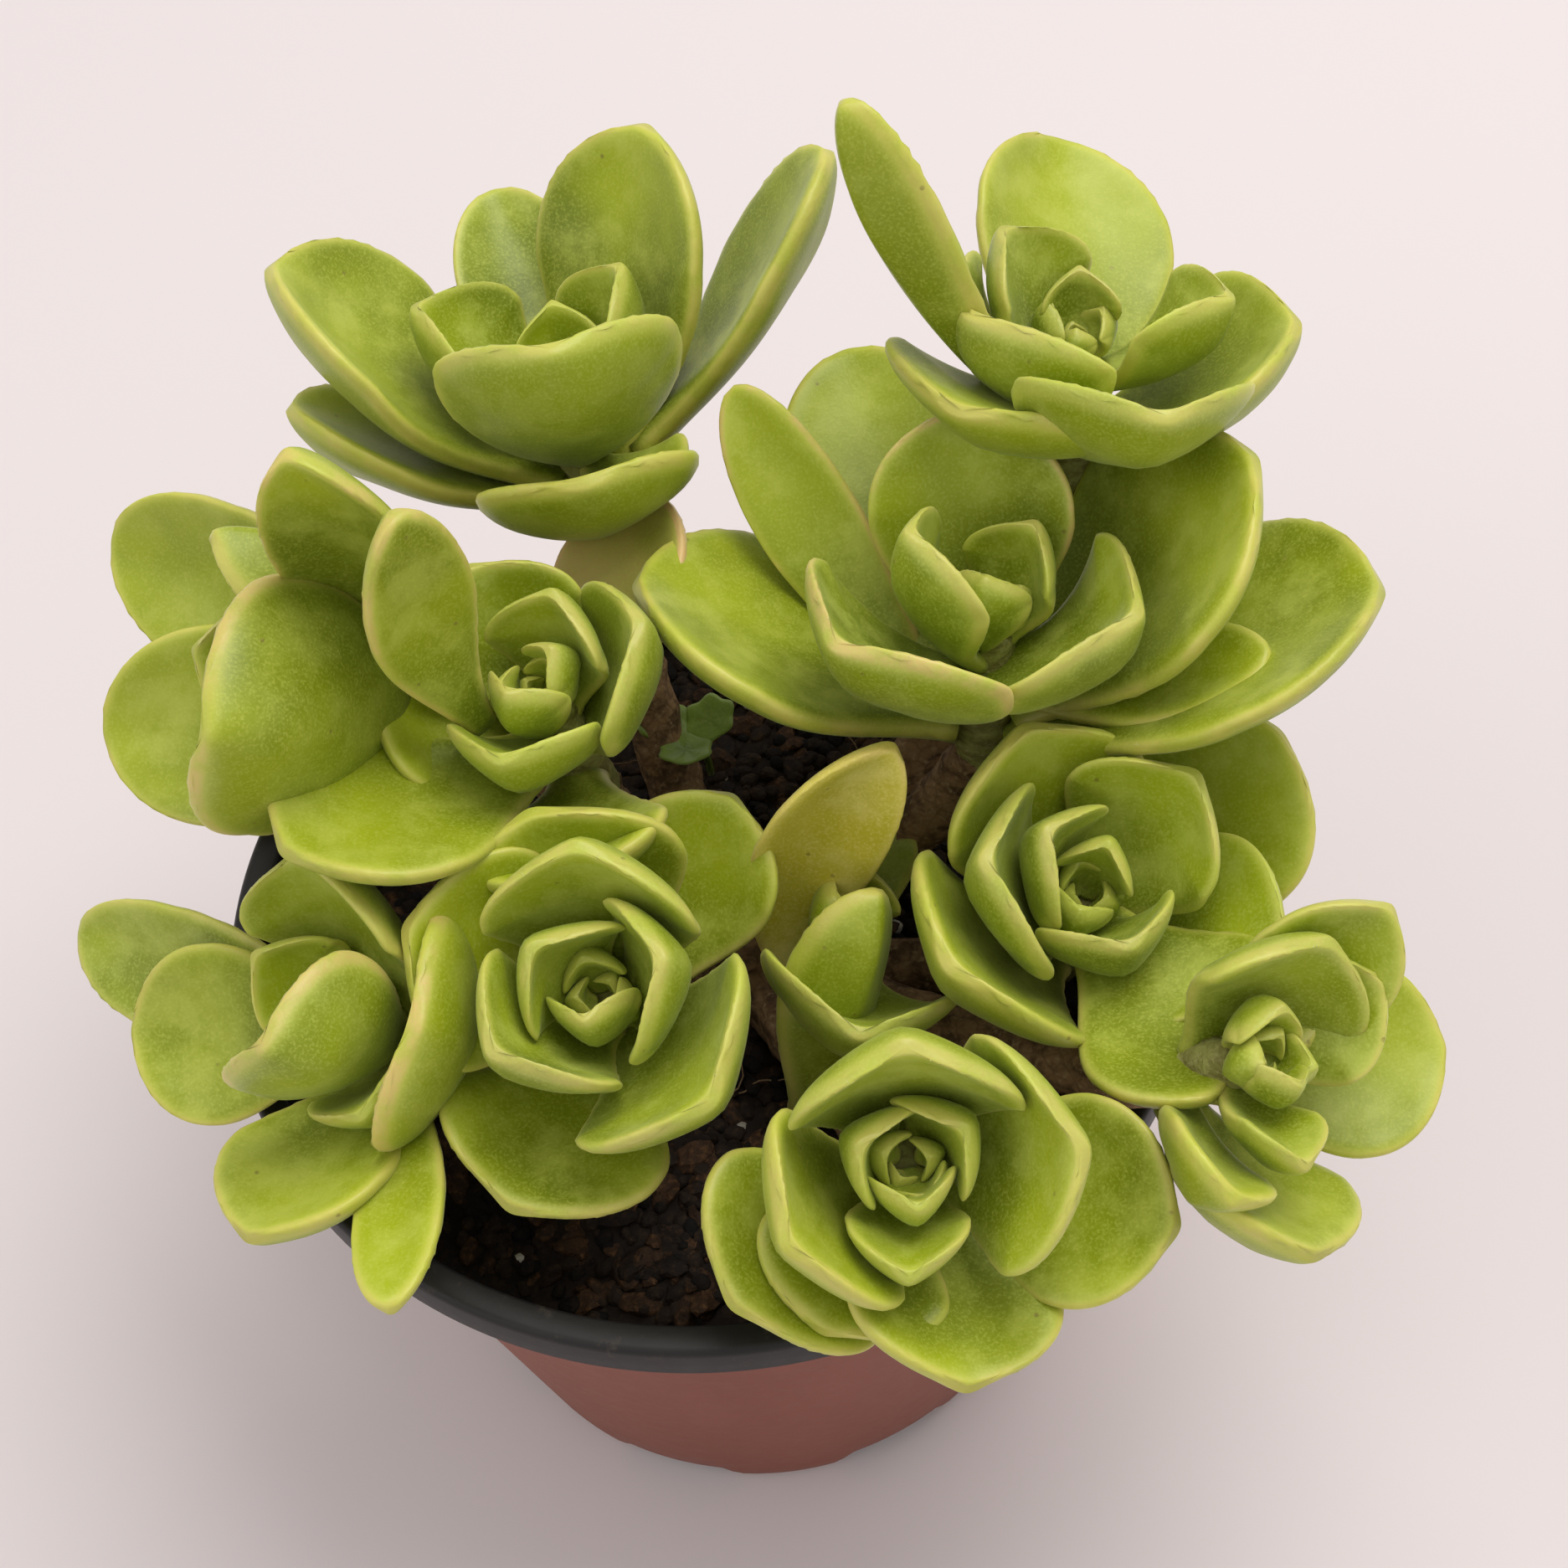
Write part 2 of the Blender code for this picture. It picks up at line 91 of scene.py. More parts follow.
@dataclass
class MeshData:
    """Points, faces, a material index per face and point attributes of one piece."""

    points: list[Array] = field(default_factory=list)
    faces: Faces = field(default_factory=list)
    slots: list[int] = field(default_factory=list)
    attributes: dict[str, list[Array]] = field(default_factory=dict)
    count: int = 0

    def add(
        self, points: Array, faces: Sequence[tuple[int, ...]], slot: int = 0, **attributes: Array
    ) -> None:
        """Appends a body.

        Args:
            points: N by 3 array in metres.
            faces: Point indices of each face, counted within this body.
            slot: Material index of its faces.
            attributes: Values for each point, N by 1 or N by 4.
        """
        self.faces += [tuple(i + self.count for i in face) for face in faces]
        self.slots += [slot] * len(faces)
        self.points.append(np.asarray(points, float))
        for name, values in attributes.items():
            self.attributes.setdefault(name, []).append(np.asarray(values, float))
        self.count += len(points)

    def build(self, name: str, materials: Sequence[bpy.types.Material]) -> bpy.types.Object:
        """Makes the object, shaded smooth, at the origin.

        Args:
            name: Name of the object.
            materials: Its material slots.

        Returns:
            The linked object.
        """
        mesh = bpy.data.meshes.new(name)
        mesh.from_pydata(np.concatenate(self.points).tolist(), [], self.faces)
        for material in materials:
            mesh.materials.append(material)
        mesh.polygons.foreach_set("material_index", self.slots)
        for key, blocks in self.attributes.items():
            values = np.concatenate(blocks)
            if values.ndim == 1:
                layer = mesh.attributes.new(key, "FLOAT", "POINT")
                layer.data.foreach_set("value", values.astype(np.float32))
            else:
                layer = mesh.attributes.new(key, "FLOAT_COLOR", "POINT")
                layer.data.foreach_set("color", values.astype(np.float32).ravel())
        mesh.validate()
        mesh.shade_smooth()
        made = bpy.data.objects.new(name, mesh)
        bpy.context.scene.collection.objects.link(made)
        LOG.info("%s: %d faces", name, len(mesh.polygons))
        return made


def tube_body(
    path: Sequence[Array],
    radii: Sequence[float],
    sides: int,
    bump: Optional[Callable[[float, float], float]] = None,
) -> tuple[Array, Faces]:
    """Skins a closed tube along a path.

    Args:
        path: Centre points.
        radii: One radius for each of them.
        sides: Points round each ring.
        bump: Extra radius at (fraction along, turn in radians).

    Returns:
        Points and faces, with round closed ends.
    """
    path = [np.asarray(p, float) for p in path]
    last = len(path) - 1
    points: list[Array] = []
    across = np.zeros(3)
    for i, (centre, radius) in enumerate(zip(path, radii)):
        ahead = unit(path[min(i + 1, last)] - path[max(i - 1, 0)])
        guess = across if i else unit(np.cross(ahead, (0.31, 0.95, 0.08)))
        across = unit(guess - ahead * guess.dot(ahead))
        other = np.cross(ahead, across)
        for k in range(sides):
            turn = 2 * math.pi * k / sides
            size = radius + (bump(i / last, turn) if bump else 0.0)
            points.append(centre + (across * math.cos(turn) + other * math.sin(turn)) * size)
    faces: Faces = []
    for i in range(last):
        for k in range(sides):
            j = (k + 1) % sides
            low, high = i * sides, (i + 1) * sides
            faces.append((low + k, low + j, high + j, high + k))
    start, end = len(points), len(points) + 1
    points += [path[0], path[-1]]
    top = last * sides
    for k in range(sides):
        j = (k + 1) % sides
        faces.append((start, j, k))
        faces.append((end, top + k, top + j))
    return np.array(points), faces


# ------------------------------------------------------------------ node trees


class Nodes:
    """Adds and links the nodes of one tree."""

    def __init__(self, tree: bpy.types.NodeTree) -> None:
        """Keeps the tree that nodes are added to."""
        self.tree = tree

    def add(self, kind: str, inputs: Optional[dict] = None, **settings: object) -> bpy.types.Node:
        """Adds a node.

        Args:
            kind: The node's type name.
            inputs: Values or output sockets by input name or index.
            settings: Properties of the node, set before its inputs.

        Returns:
            The node.
        """
        node = self.tree.nodes.new(kind)
        for key, value in settings.items():
            setattr(node, key, value)
        for key, value in (inputs or {}).items():
            self.feed(self.socket(node.inputs, key), value)
        return node

    @staticmethod
    def socket(sockets: Sequence, key: str | int) -> bpy.types.NodeSocket:
        """The enabled socket of that name, or the one at that index."""
        if isinstance(key, int):
            return sockets[key]
        return next(s for s in sockets if s.name == key and s.enabled)

    def feed(self, target: bpy.types.NodeSocket, value: object) -> None:
        """Links an output socket to an input, or sets the input's value.

        Args:
            target: The input socket.
            value: An output socket, or a plain value.
        """
        if isinstance(value, bpy.types.NodeSocket):
            self.tree.links.new(value, target)
        else:
            target.default_value = value

    def mix(self, share: Feed, first: Feed, second: Feed) -> bpy.types.NodeSocket:
        """Mixes two colours.

        Args:
            share: How much of the second colour, from 0 to 1.
            first: The first colour.
            second: The second colour.

        Returns:
            The socket of the mixed colour.
        """
        node = self.add("ShaderNodeMix", data_type="RGBA")
        for index, value in ((0, share), (6, first), (7, second)):
            self.feed(node.inputs[index], (*value, 1.0) if isinstance(value, tuple) else value)
        return node.outputs[2]

    def math(self, operation: str, *values: Feed, clamp: bool = False) -> bpy.types.NodeSocket:
        """Adds a math node.

        Args:
            operation: Its operation.
            values: Values or sockets for its inputs.
            clamp: Whether the result is held between 0 and 1.

        Returns:
            The socket of the result.
        """
        node = self.add("ShaderNodeMath", operation=operation, use_clamp=clamp)
        for index, value in enumerate(values):
            self.feed(node.inputs[index], value)
        return node.outputs[0]

    def span(self, value: Feed, low: float, high: float, top: float = 1.0) -> bpy.types.NodeSocket:
        """Eases a value from 0 at low to top at high.

        Args:
            value: The value read.
            low: Where the rise starts.
            high: Where it ends, which may be below low.
            top: The result at high.

        Returns:
            The socket of the eased value.
        """
        node = self.add("ShaderNodeMapRange", interpolation_type="SMOOTHSTEP")
        for index, item in enumerate((value, low, high, 0.0, top)):
            self.feed(node.inputs[index], item)
        return node.outputs[0]


class Shader(Nodes):
    """A material's node tree with a Principled surface that reads object coordinates."""

    def __init__(self, name: str, **constants: float | tuple) -> None:
        """Starts a material.

        Args:
            name: Its name.
            constants: Values of the surface's inputs, with _ for a space in the input's name.
        """
        self.material = bpy.data.materials.new(name)
        self.material.use_nodes = True
        super().__init__(self.material.node_tree)
        self.surface = self.tree.nodes["Principled BSDF"]
        for key, value in constants.items():
            self.surface.inputs[key.replace("_", " ")].default_value = value
        self.place = self.add("ShaderNodeTexCoord").outputs["Object"]

    def noise(
        self,
        scale: float,
        detail: float = 2.0,
        rough: float = 0.5,
        along: Optional[bpy.types.NodeSocket] = None,
    ) -> bpy.types.NodeSocket:
        """Adds a noise texture.

        Args:
            scale: Features to the metre.
            detail: Octaves.
            rough: Share of the finer octaves.
            along: Coordinates to read in place of the object's own.

        Returns:
            The socket of its value.
        """
        inputs = {"Vector": along or self.place, "Scale": scale, "Detail": detail, "Roughness": rough}
        return self.add("ShaderNodeTexNoise", inputs).outputs["Fac"]

    def cells(self, scale: float, feature: str = "F1") -> bpy.types.Node:
        """A Voronoi texture node."""
        return self.add("ShaderNodeTexVoronoi", {"Vector": self.place, "Scale": scale}, feature=feature)

    def bump(
        self,
        height: Feed,
        strength: float,
        distance: float,
        below: Optional[bpy.types.NodeSocket] = None,
    ) -> bpy.types.NodeSocket:
        """Adds a bump.

        Args:
            height: The relief, from 0 to 1.
            strength: Its strength.
            distance: Its depth in metres.
            below: The normal that it is laid over.

        Returns:
            The socket of the new normal.
        """
        inputs = {"Height": height, "Strength": strength, "Distance": distance}
        if below is not None:
            inputs["Normal"] = below
        return self.add("ShaderNodeBump", inputs).outputs["Normal"]

    def finish(
        self, colour: Feed, roughness: Feed, normal: Optional[bpy.types.NodeSocket] = None
    ) -> bpy.types.Material:
        """Feeds the surface.

        Args:
            colour: Base colour.
            roughness: Roughness.
            normal: Normal, where the surface has relief.

        Returns:
            The material.
        """
        self.feed(self.surface.inputs["Base Color"], colour)
        self.feed(self.surface.inputs["Roughness"], roughness)
        if normal is not None:
            self.feed(self.surface.inputs["Normal"], normal)
        return self.material


# ------------------------------------------------------------------ finishes


@dataclass(frozen=True)
class LeafFinish:
    """Fleshy leaf skin: velvety, faintly translucent, paler along the margin, with painted shade at the
    leaves' feet and on their undersides.
    """

    name: str
    # deep: a darker green, laid as random tone and as painted shade at the leaves' feet and on their
    # undersides.
    deep: Colour
    body: Colour
    light: Colour
    rim: Colour
    blush: Colour
    speck: Colour = (0.16, 0.09, 0.03)
    speck_share: float = 0.06
    roughness: float = 0.42
    translucent: float = 0.12

    def material(self) -> bpy.types.Material:
        """Builds the skin from the leaf map: rim, along, face and blush of each point.

        Returns:
            The material.
        """
        s = Shader(
            self.name,
            Subsurface_Weight=self.translucent,
            Subsurface_Radius=(0.9, 1.0, 0.25),
            Subsurface_Scale=0.0014,
            Sheen_Weight=0.14,
            Sheen_Roughness=0.38,
            Sheen_Tint=(0.93, 1.0, 0.6, 1.0),
            Specular_IOR_Level=0.44,
        )
        leaf_map = s.add("ShaderNodeAttribute", attribute_name="leaf_map")
        parts = s.add("ShaderNodeSeparateColor", {"Color": leaf_map.outputs["Color"]})
        rim, along, face = parts.outputs[0], parts.outputs[1], parts.outputs[2]
        blush = leaf_map.outputs["Alpha"]
        broad = s.noise(42.0, 3.0, 0.55)
        patchy = s.noise(150.0, 4.0, 0.6)
        grain = s.noise(3000.0, 2.0, 0.6)

        # Darker green towards each leaf's foot: painted shade deep in the rosette, broken up by broad patches
        # of random tone.
        reach = s.math("MULTIPLY", s.span(along, 0.12, 0.85), s.span(broad, 0.25, 0.62))
        colour = s.mix(reach, self.deep, self.body)
        colour = s.mix(s.span(patchy, 0.42, 0.72, 0.55), colour, self.light)
        # The lower skin is painted darker: painted shade on the side that faces down.
        colour = s.mix(s.math("MULTIPLY", s.span(face, 0.6, 0.2), 0.35), colour, self.deep)
        colour = s.mix(s.math("MULTIPLY", s.span(rim, 0.1, 1.0), 0.5), colour, self.rim)
        edge = s.math("MULTIPLY", s.span(rim, 0.55, 1.0, 1.5), s.span(patchy, 0.35, 0.6))
        whole = s.math("MULTIPLY", s.span(blush, 0.45, 1.0, 0.7), s.span(broad, 0.3, 0.7))
        glow = s.math("ADD", s.math("MULTIPLY", edge, blush), whole, clamp=True)
        colour = s.mix(glow, colour, self.blush)

        spots = s.cells(430.0)
        lot = s.add("ShaderNodeSeparateColor", {"Color": spots.outputs["Color"]}).outputs[0]
        clear_share = 1.0 - self.speck_share
        chosen = s.span(lot, clear_share, clear_share + 0.01)
        dot = s.math("MULTIPLY", s.span(spots.outputs["Distance"], 0.16, 0.05), chosen)
        colour = s.mix(s.math("MULTIPLY", dot, 0.55), colour, self.speck)
        colour = s.mix(s.span(grain, 0.42, 0.75, 0.4), colour, self.light)

        rough = s.math("ADD", s.math("MULTIPLY", grain, 0.16), self.roughness - 0.08)
        soft = s.bump(patchy, 0.16, 0.0006)
        pores = s.bump(grain, 0.2, 0.00012, soft)
        return s.finish(colour, rough, pores)


@dataclass(frozen=True)
class HairFinish:
    """Colourless down that catches the light along leaf margins."""

    name: str = "leaf_down"
    colour: Colour = (0.62, 0.68, 0.26)
    pale: Colour = (0.84, 0.88, 0.58)

    def material(self) -> bpy.types.Material:
        """Builds the down's material."""
        s = Shader(self.name, Sheen_Weight=0.3, Alpha=0.75)
        tone = s.noise(700.0, 1.0)
        return s.finish(s.mix(tone, self.colour, self.pale), 0.5)


@dataclass(frozen=True)
class BarkFinish:
    """Stem skin: ringed with leaf scars, cracked and flaky when old."""

    name: str
    dark: Colour
    body: Colour
    pale: Colour
    crack: float

    def material(self) -> bpy.types.Material:
        """Builds the bark.

        Returns:
            The material.
        """
        s = Shader(self.name, Specular_IOR_Level=0.25)
        stretched = s.add("ShaderNodeMapping", {"Vector": s.place, "Scale": (1.0, 1.0, 2.6)}).outputs[0]
        scars = s.noise(330.0, 4.0, 0.6, along=stretched)
        fibre = s.noise(1300.0, 3.0, 0.7)
        plates = s.cells(520.0, "DISTANCE_TO_EDGE").outputs["Distance"]
        colour = s.mix(s.span(scars, 0.32, 0.62), self.dark, self.body)
        colour = s.mix(s.span(fibre, 0.5, 0.78, 0.7), colour, self.pale)
        lines = s.math("MULTIPLY", s.span(plates, 0.12, 0.0), self.crack)
        colour = s.mix(lines, colour, self.dark)
        low = s.bump(scars, 0.5, 0.0008)
        deep = s.bump(s.math("SUBTRACT", fibre, lines), 0.5, 0.0003, low)
        return s.finish(colour, s.math("ADD", s.math("MULTIPLY", fibre, 0.2), 0.68), deep)


@dataclass(frozen=True)
class PlasticFinish:
    """Thin moulded plastic with faint flow marks, scuffs and dust."""

    name: str
    body: Colour
    worn: Colour
    dust: Colour
    roughness: float
    dust_share: float

    def material(self) -> bpy.types.Material:
        """Builds the plastic.

        Returns:
            The material.
        """
        s = Shader(self.name, Specular_IOR_Level=0.4, IOR=1.49)
        flow = s.add("ShaderNodeMapping", {"Vector": s.place, "Scale": (1.0, 1.0, 0.35)}).outputs[0]
        marks = s.noise(60.0, 4.0, 0.6, along=flow)
        pebble = s.noise(2400.0, 2.0, 0.6)
        scuffs = s.noise(420.0, 5.0, 0.7)
        colour = s.mix(s.span(marks, 0.35, 0.68, 0.6), self.body, self.worn)
        dusty = s.math("MULTIPLY", s.span(scuffs, 0.56, 0.75), self.dust_share)
        colour = s.mix(dusty, colour, self.dust)
        rough = s.math("ADD", s.math("MULTIPLY", scuffs, 0.18), self.roughness - 0.09)
        soft = s.bump(marks, 0.12, 0.0008)
        return s.finish(colour, rough, s.bump(pebble, 0.14, 0.00008, soft))


@dataclass(frozen=True)
class GritFinish:
    """Loose grains of the potting mix, each with its own tone attribute."""

    name: str
    dark: Colour
    body: Colour
    pale: Colour
    grain: float
    roughness: float

    def material(self) -> bpy.types.Material:
        """Builds the grains' material.

        Returns:
            The material.
        """
        s = Shader(self.name, Specular_IOR_Level=0.3)
        tone = s.add("ShaderNodeAttribute", attribute_name="tone").outputs["Fac"]
        fine = s.noise(self.grain, 4.0, 0.65)
        colour = s.mix(s.span(tone, 0.15, 0.8), self.dark, self.body)
        colour = s.mix(s.math("MULTIPLY", s.span(fine, 0.45, 0.75), tone), colour, self.pale)
        rough = s.math("ADD", s.math("MULTIPLY", fine, 0.2), self.roughness - 0.1, clamp=True)
        return s.finish(colour, rough, s.bump(fine, 0.6, 0.0005))


class Finish(Enum):
    """Every finish of the plant and its pot."""

    LEAF = LeafFinish(
        "leaf_skin", (0.17, 0.22, 0.004), (0.38, 0.455, 0.010), (0.54, 0.60, 0.10),
        (0.68, 0.68, 0.12), (0.78, 0.50, 0.22),
    )
    YOUNG = LeafFinish(
        "young_leaf_skin", (0.16, 0.21, 0.004), (0.37, 0.45, 0.012), (0.55, 0.62, 0.12),
        (0.66, 0.68, 0.13), (0.76, 0.50, 0.22),
    )
    OLD = LeafFinish(
        "old_leaf_skin", (0.52, 0.46, 0.02), (0.82, 0.70, 0.09), (0.92, 0.82, 0.28),
        (0.90, 0.76, 0.20), (0.72, 0.50, 0.16), speck_share=0.3,
    )
    DOWN = HairFinish()
    WOOD = BarkFinish("stem_bark", (0.09, 0.05, 0.022), (0.30, 0.18, 0.085), (0.50, 0.36, 0.20), 0.3)
    TIP = BarkFinish("stem_tip_bark", (0.17, 0.15, 0.04), (0.33, 0.33, 0.10), (0.46, 0.43, 0.20), 0.2)
    WALL = PlasticFinish(
        "pot_wall", (0.20, 0.046, 0.022), (0.24, 0.064, 0.034), (0.36, 0.20, 0.14),
        roughness=0.5, dust_share=0.14,
    )
    LINER = PlasticFinish(
        "pot_liner", (0.008, 0.007, 0.007), (0.014, 0.012, 0.011), (0.12, 0.09, 0.06),
        roughness=0.5, dust_share=0.3,
    )
    SOIL = GritFinish(
        "peat_crumb", (0.006, 0.004, 0.003), (0.022, 0.013, 0.008), (0.07, 0.04, 0.02),
        grain=900.0, roughness=0.85,
    )
    BARK = GritFinish(
        "bark_bits", (0.008, 0.004, 0.002), (0.045, 0.021, 0.009), (0.17, 0.08, 0.03),
        grain=1300.0, roughness=0.75,
    )
    PERLITE = GritFinish(
        "perlite", (0.38, 0.34, 0.28), (0.66, 0.62, 0.54), (0.85, 0.82, 0.76),
        grain=1800.0, roughness=0.8,
    )
    ROOT = GritFinish(
        "root_threads", (0.10, 0.06, 0.03), (0.30, 0.19, 0.10), (0.45, 0.32, 0.18),
        grain=2200.0, roughness=0.8,
    )
    WEED = LeafFinish(
        "seedling_skin", (0.10, 0.17, 0.012), (0.20, 0.31, 0.03), (0.32, 0.44, 0.08),
        (0.28, 0.42, 0.08), (0.24, 0.22, 0.06), speck_share=0.03,
    )

    def material(self) -> bpy.types.Material:
        """This finish's material, built once."""
        made = bpy.data.materials.get(self.value.name)
        return made or self.value.material()


# ------------------------------------------------------------------ leaves


@dataclass(frozen=True)
class Leaf:
    """One leaf: angles in degrees about its rosette's axis, sizes in millimetres."""

    azimuth: float
    lift: float
    length: float
    width: float = 0.0
    drop: Optional[float] = None
    reach: float = 0.0
    name: str = ""
    notch: float = 0.0
    twist: float = 0.0
    curl: float = 0.0
    blush: float = 0.16


@dataclass(frozen=True)
class LeafGrowth:
    """How leaves change with their place in a rosette, where 0 is the youngest."""

    drop_per_leaf: float = 1.3 * MM
    widest_leaf: float = 28 * MM
    widest_at: float = 0.63
    petiole_width: float = 0.28
    least_bend: float = 15.0
    most_fold: float = 40.0
    most_curl: float = 52.0
    easing_per_leaf: float = 3.0
    thinnest: float = 3.2 * MM
    thickest: float = 4.9 * MM
    thickening: float = 0.25 * MM

    def half_width(self, u: Array) -> Array:
        """The leaf's outline.

        Args:
            u: Fractions along the leaf, from its foot to its tip.

        Returns:
            Half widths there, as fractions of the widest.
        """
        rise = np.clip(u / self.widest_at, 0.0, 1.0)
        fall = np.clip((u - self.widest_at) / (1 - self.widest_at), 0.0, 1.0)
        before = self.petiole_width + (1 - self.petiole_width) * (rise * rise * (3 - 2 * rise)) ** 0.9
        after = (1 - fall**2.1) ** 0.52
        return np.where(u < self.widest_at, before, after)


GROWTH = LeafGrowth()


@dataclass(frozen=True)
class Rosette:
    """A rosette: crown in millimetres, which way and how far its axis leans in degrees."""

    name: str
    crown_mm: tuple[float, float, float]
    lean_toward: float
    lean: float
    inner: tuple[Leaf, ...]
    outer: tuple[Leaf, ...]
    tip_mm: float = 17.0

    @property
    def crown(self) -> Array:
        """The crown point in metres."""
        return np.array(self.crown_mm) * MM

    @property
    def axis(self) -> Array:
        """The growth direction."""
        tilt, turn = math.radians(self.lean), math.radians(self.lean_toward)
        return np.array([math.sin(tilt) * math.cos(turn), math.sin(tilt) * math.sin(turn), math.cos(tilt)])

    @property
    def side(self) -> Array:
        """World +X laid flat across the axis, from which azimuths are counted."""
        return unit(np.array([1.0, 0.0, 0.0]) - self.axis * self.axis[0])

    def outward(self, azimuth: float) -> Array:
        """The direction away from the axis at an azimuth in degrees."""
        turn = math.radians(azimuth)
        return self.side * math.cos(turn) + np.cross(self.axis, self.side) * math.sin(turn)

    def node_of(self, count: int) -> str:
        """The CAD node of one outer leaf."""
        return self.outer[count].name or f"{self.name}_leaf_{count + 1}"


@dataclass
class LeafBlade:
    """The fine surface of one leaf of a rosette.

    The skin's shares are of the leaf's thickness: how far in the lip and the belly reach, how much
    the rounded lip gives to each face, and what the belly and its keel add below.
    """

    rosette: Rosette
    leaf: Leaf
    place: int
    start: float
    rng: np.random.Generator
    rows: int = 34
    columns: int = 11
    rim_width: float = 1.15 * MM
    valley_softness: float = 0.75
    valley_depth: float = 0.82
    lip_reach: float = 0.5
    belly_reach: float = 2.1
    face_share: float = 0.27
    belly_share: float = 0.46
    keel_share: float = 0.22
    tip_thinning: float = 0.16
    tip_point: float = 0.6 * MM

    def __post_init__(self) -> None:
        """Works out the leaf's sizes in metres and draws its own unevenness."""
        leaf, place = self.leaf, self.place
        self.length = leaf.length * MM
        self.width = leaf.width * MM or min(1.02 * self.length + 1 * MM, GROWTH.widest_leaf)
        self.drop = place * GROWTH.drop_per_leaf if leaf.drop is None else leaf.drop * MM
        self.reach = leaf.reach * MM or self.start
        ease = GROWTH.easing_per_leaf * place
        self.fold = math.radians(max(GROWTH.least_bend, GROWTH.most_fold - ease))
        self.curl = math.radians(leaf.curl or max(GROWTH.least_bend, GROWTH.most_curl - ease))
        grown = GROWTH.thinnest + GROWTH.thickening * place
        self.thick = min(GROWTH.thickest, grown, 0.4 * self.width + 0.3 * MM)
        draw = self.rng.uniform(-1, 1, 5)
        size = min(self.width / GROWTH.widest_leaf, 1.0) * MM
        self.wave = (5 + 2 * draw[0], 2 * draw[1], 0.55 * size * draw[2])
        self.tilt, self.phase = 0.5 * size * draw[3], 3 * draw[4]

    def grid(self) -> tuple[Array, Array]:
        """Spaces the surface's points.

        Returns:
            Fractions along the leaf, closer together at the tip, and from -1 to 1 across it, closer
            together at the margins.
        """
        step = np.linspace(0.0, 1.0, self.rows + 1)[:-1]
        along = 0.42 * step + 0.58 * np.sin(step * math.pi / 2)
        share = np.linspace(-1.0, 1.0, 2 * self.columns + 1)
        across = np.sign(share) * (1 - (1 - np.abs(share)) ** 1.8)
        return along, across

    def margin_distance(self, x: Array, y: Array) -> Array:
        """Measures how far in from the outline points of the flat leaf are.

        Args:
            x: Distances across, in metres.
            y: Distances along, in metres.

        Returns:
            Distances to the outline, in metres.
        """
        u = np.concatenate([np.linspace(0, 0.9, 60), 1 - np.geomspace(0.1, 0.0005, 40), [1.0]])
        half = GROWTH.half_width(u) * self.width / 2
        flat = np.stack([np.concatenate([half, -half]), np.concatenate([u, u]) * self.length], -1)
        found = np.full(x.shape, 1.0)
        for px, py in flat:
            found = np.minimum(found, np.hypot(x - px, y - py))
        return found

    def surface(self) -> tuple[Array, Faces, Array]:
        """Builds the closed blade.

        Returns:
            Points, faces and the leaf map (rim, along, face, blush) of each point.
        """
        along, across = self.grid()
        u, v = np.meshgrid(along, across, indexing="ij")
        half = GROWTH.half_width(u) * self.width / 2
        x, y = v * half, u * self.length
        depth = self.margin_distance(x, y)
        depth[:, 0] = depth[:, -1] = 0.0
        top, bottom, map_top, map_bottom = self.sheets(u, v, x, y, depth)
        rows, wide = u.shape
        ring = 2 * (wide - 1)
        points, maps = [], []
        for i in range(rows):
            points += [*top[i], *bottom[i, -2:0:-1]]
            maps += [*map_top[i], *map_bottom[i, -2:0:-1]]
        one, none = np.ones(1), np.zeros(1)
        tip = self.lift_off(one, none, none, one * self.length)[0]
        heel = (np.array(points[0]) + np.array(points[wide - 1])) / 2
        points += [tip[0], heel]
        maps += [[1.0, 1.0, 0.5, self.leaf.blush], maps[0]]
        faces: Faces = []
        for i in range(rows - 1):
            for k in range(ring):
                j = (k + 1) % ring
                low, high = i * ring, (i + 1) * ring
                faces.append((high + k, high + j, low + j, low + k))
        last, apex, base = (rows - 1) * ring, rows * ring, rows * ring + 1
        for k in range(ring):
            j = (k + 1) % ring
            faces.append((apex, last + j, last + k))
            faces.append((j, base, k))
        return np.array(points), faces, np.array(maps)

    def lift_off(self, u: Array, v: Array, x: Array, y: Array) -> tuple[Array, Array]:
        """Bends flat leaf points into their place on the rosette.

        Args:
            u: Fraction along the leaf.
            v: Fraction across it, from -1 to 1.
            x: Flat distance across, in metres.
            y: Flat distance along, in metres.

        Returns:
            The points of the middle surface and its normals.
        """
        r = self.rosette
        outward = r.outward(self.leaf.azimuth)
        across = np.cross(r.axis, outward)
        base = r.crown - r.axis * self.drop + outward * self.reach
        first = math.radians(self.leaf.lift) - self.curl / 2
        s = y / self.length
        angle = first + self.curl * s
        run = (np.sin(angle) - math.sin(first)) / self.curl * self.length
        rise = (math.cos(first) - np.cos(angle)) / self.curl * self.length
        centre = base + outward * run[..., None] + r.axis * rise[..., None]
        facing = r.axis * np.cos(angle)[..., None] - outward * np.sin(angle)[..., None]
        twist = math.radians(self.leaf.twist)
        side = across * math.cos(twist) + facing * math.sin(twist)
        normal = facing * math.cos(twist) - across * math.sin(twist)
        bend = self.fold * np.minimum(1.0, 1.6 * u)
        soft = self.valley_softness
        valley = (np.sqrt(v * v + soft**2) - soft) / (math.sqrt(1 + soft**2) - soft)
        half = GROWTH.half_width(np.minimum(u, 1.0)) * self.width / 2
        lifted = half * np.sin(bend) * self.valley_depth * valley + self.ripple(u, v)
        spread = x * np.cos(bend)
        return centre + side * spread[..., None] + normal * lifted[..., None], normal

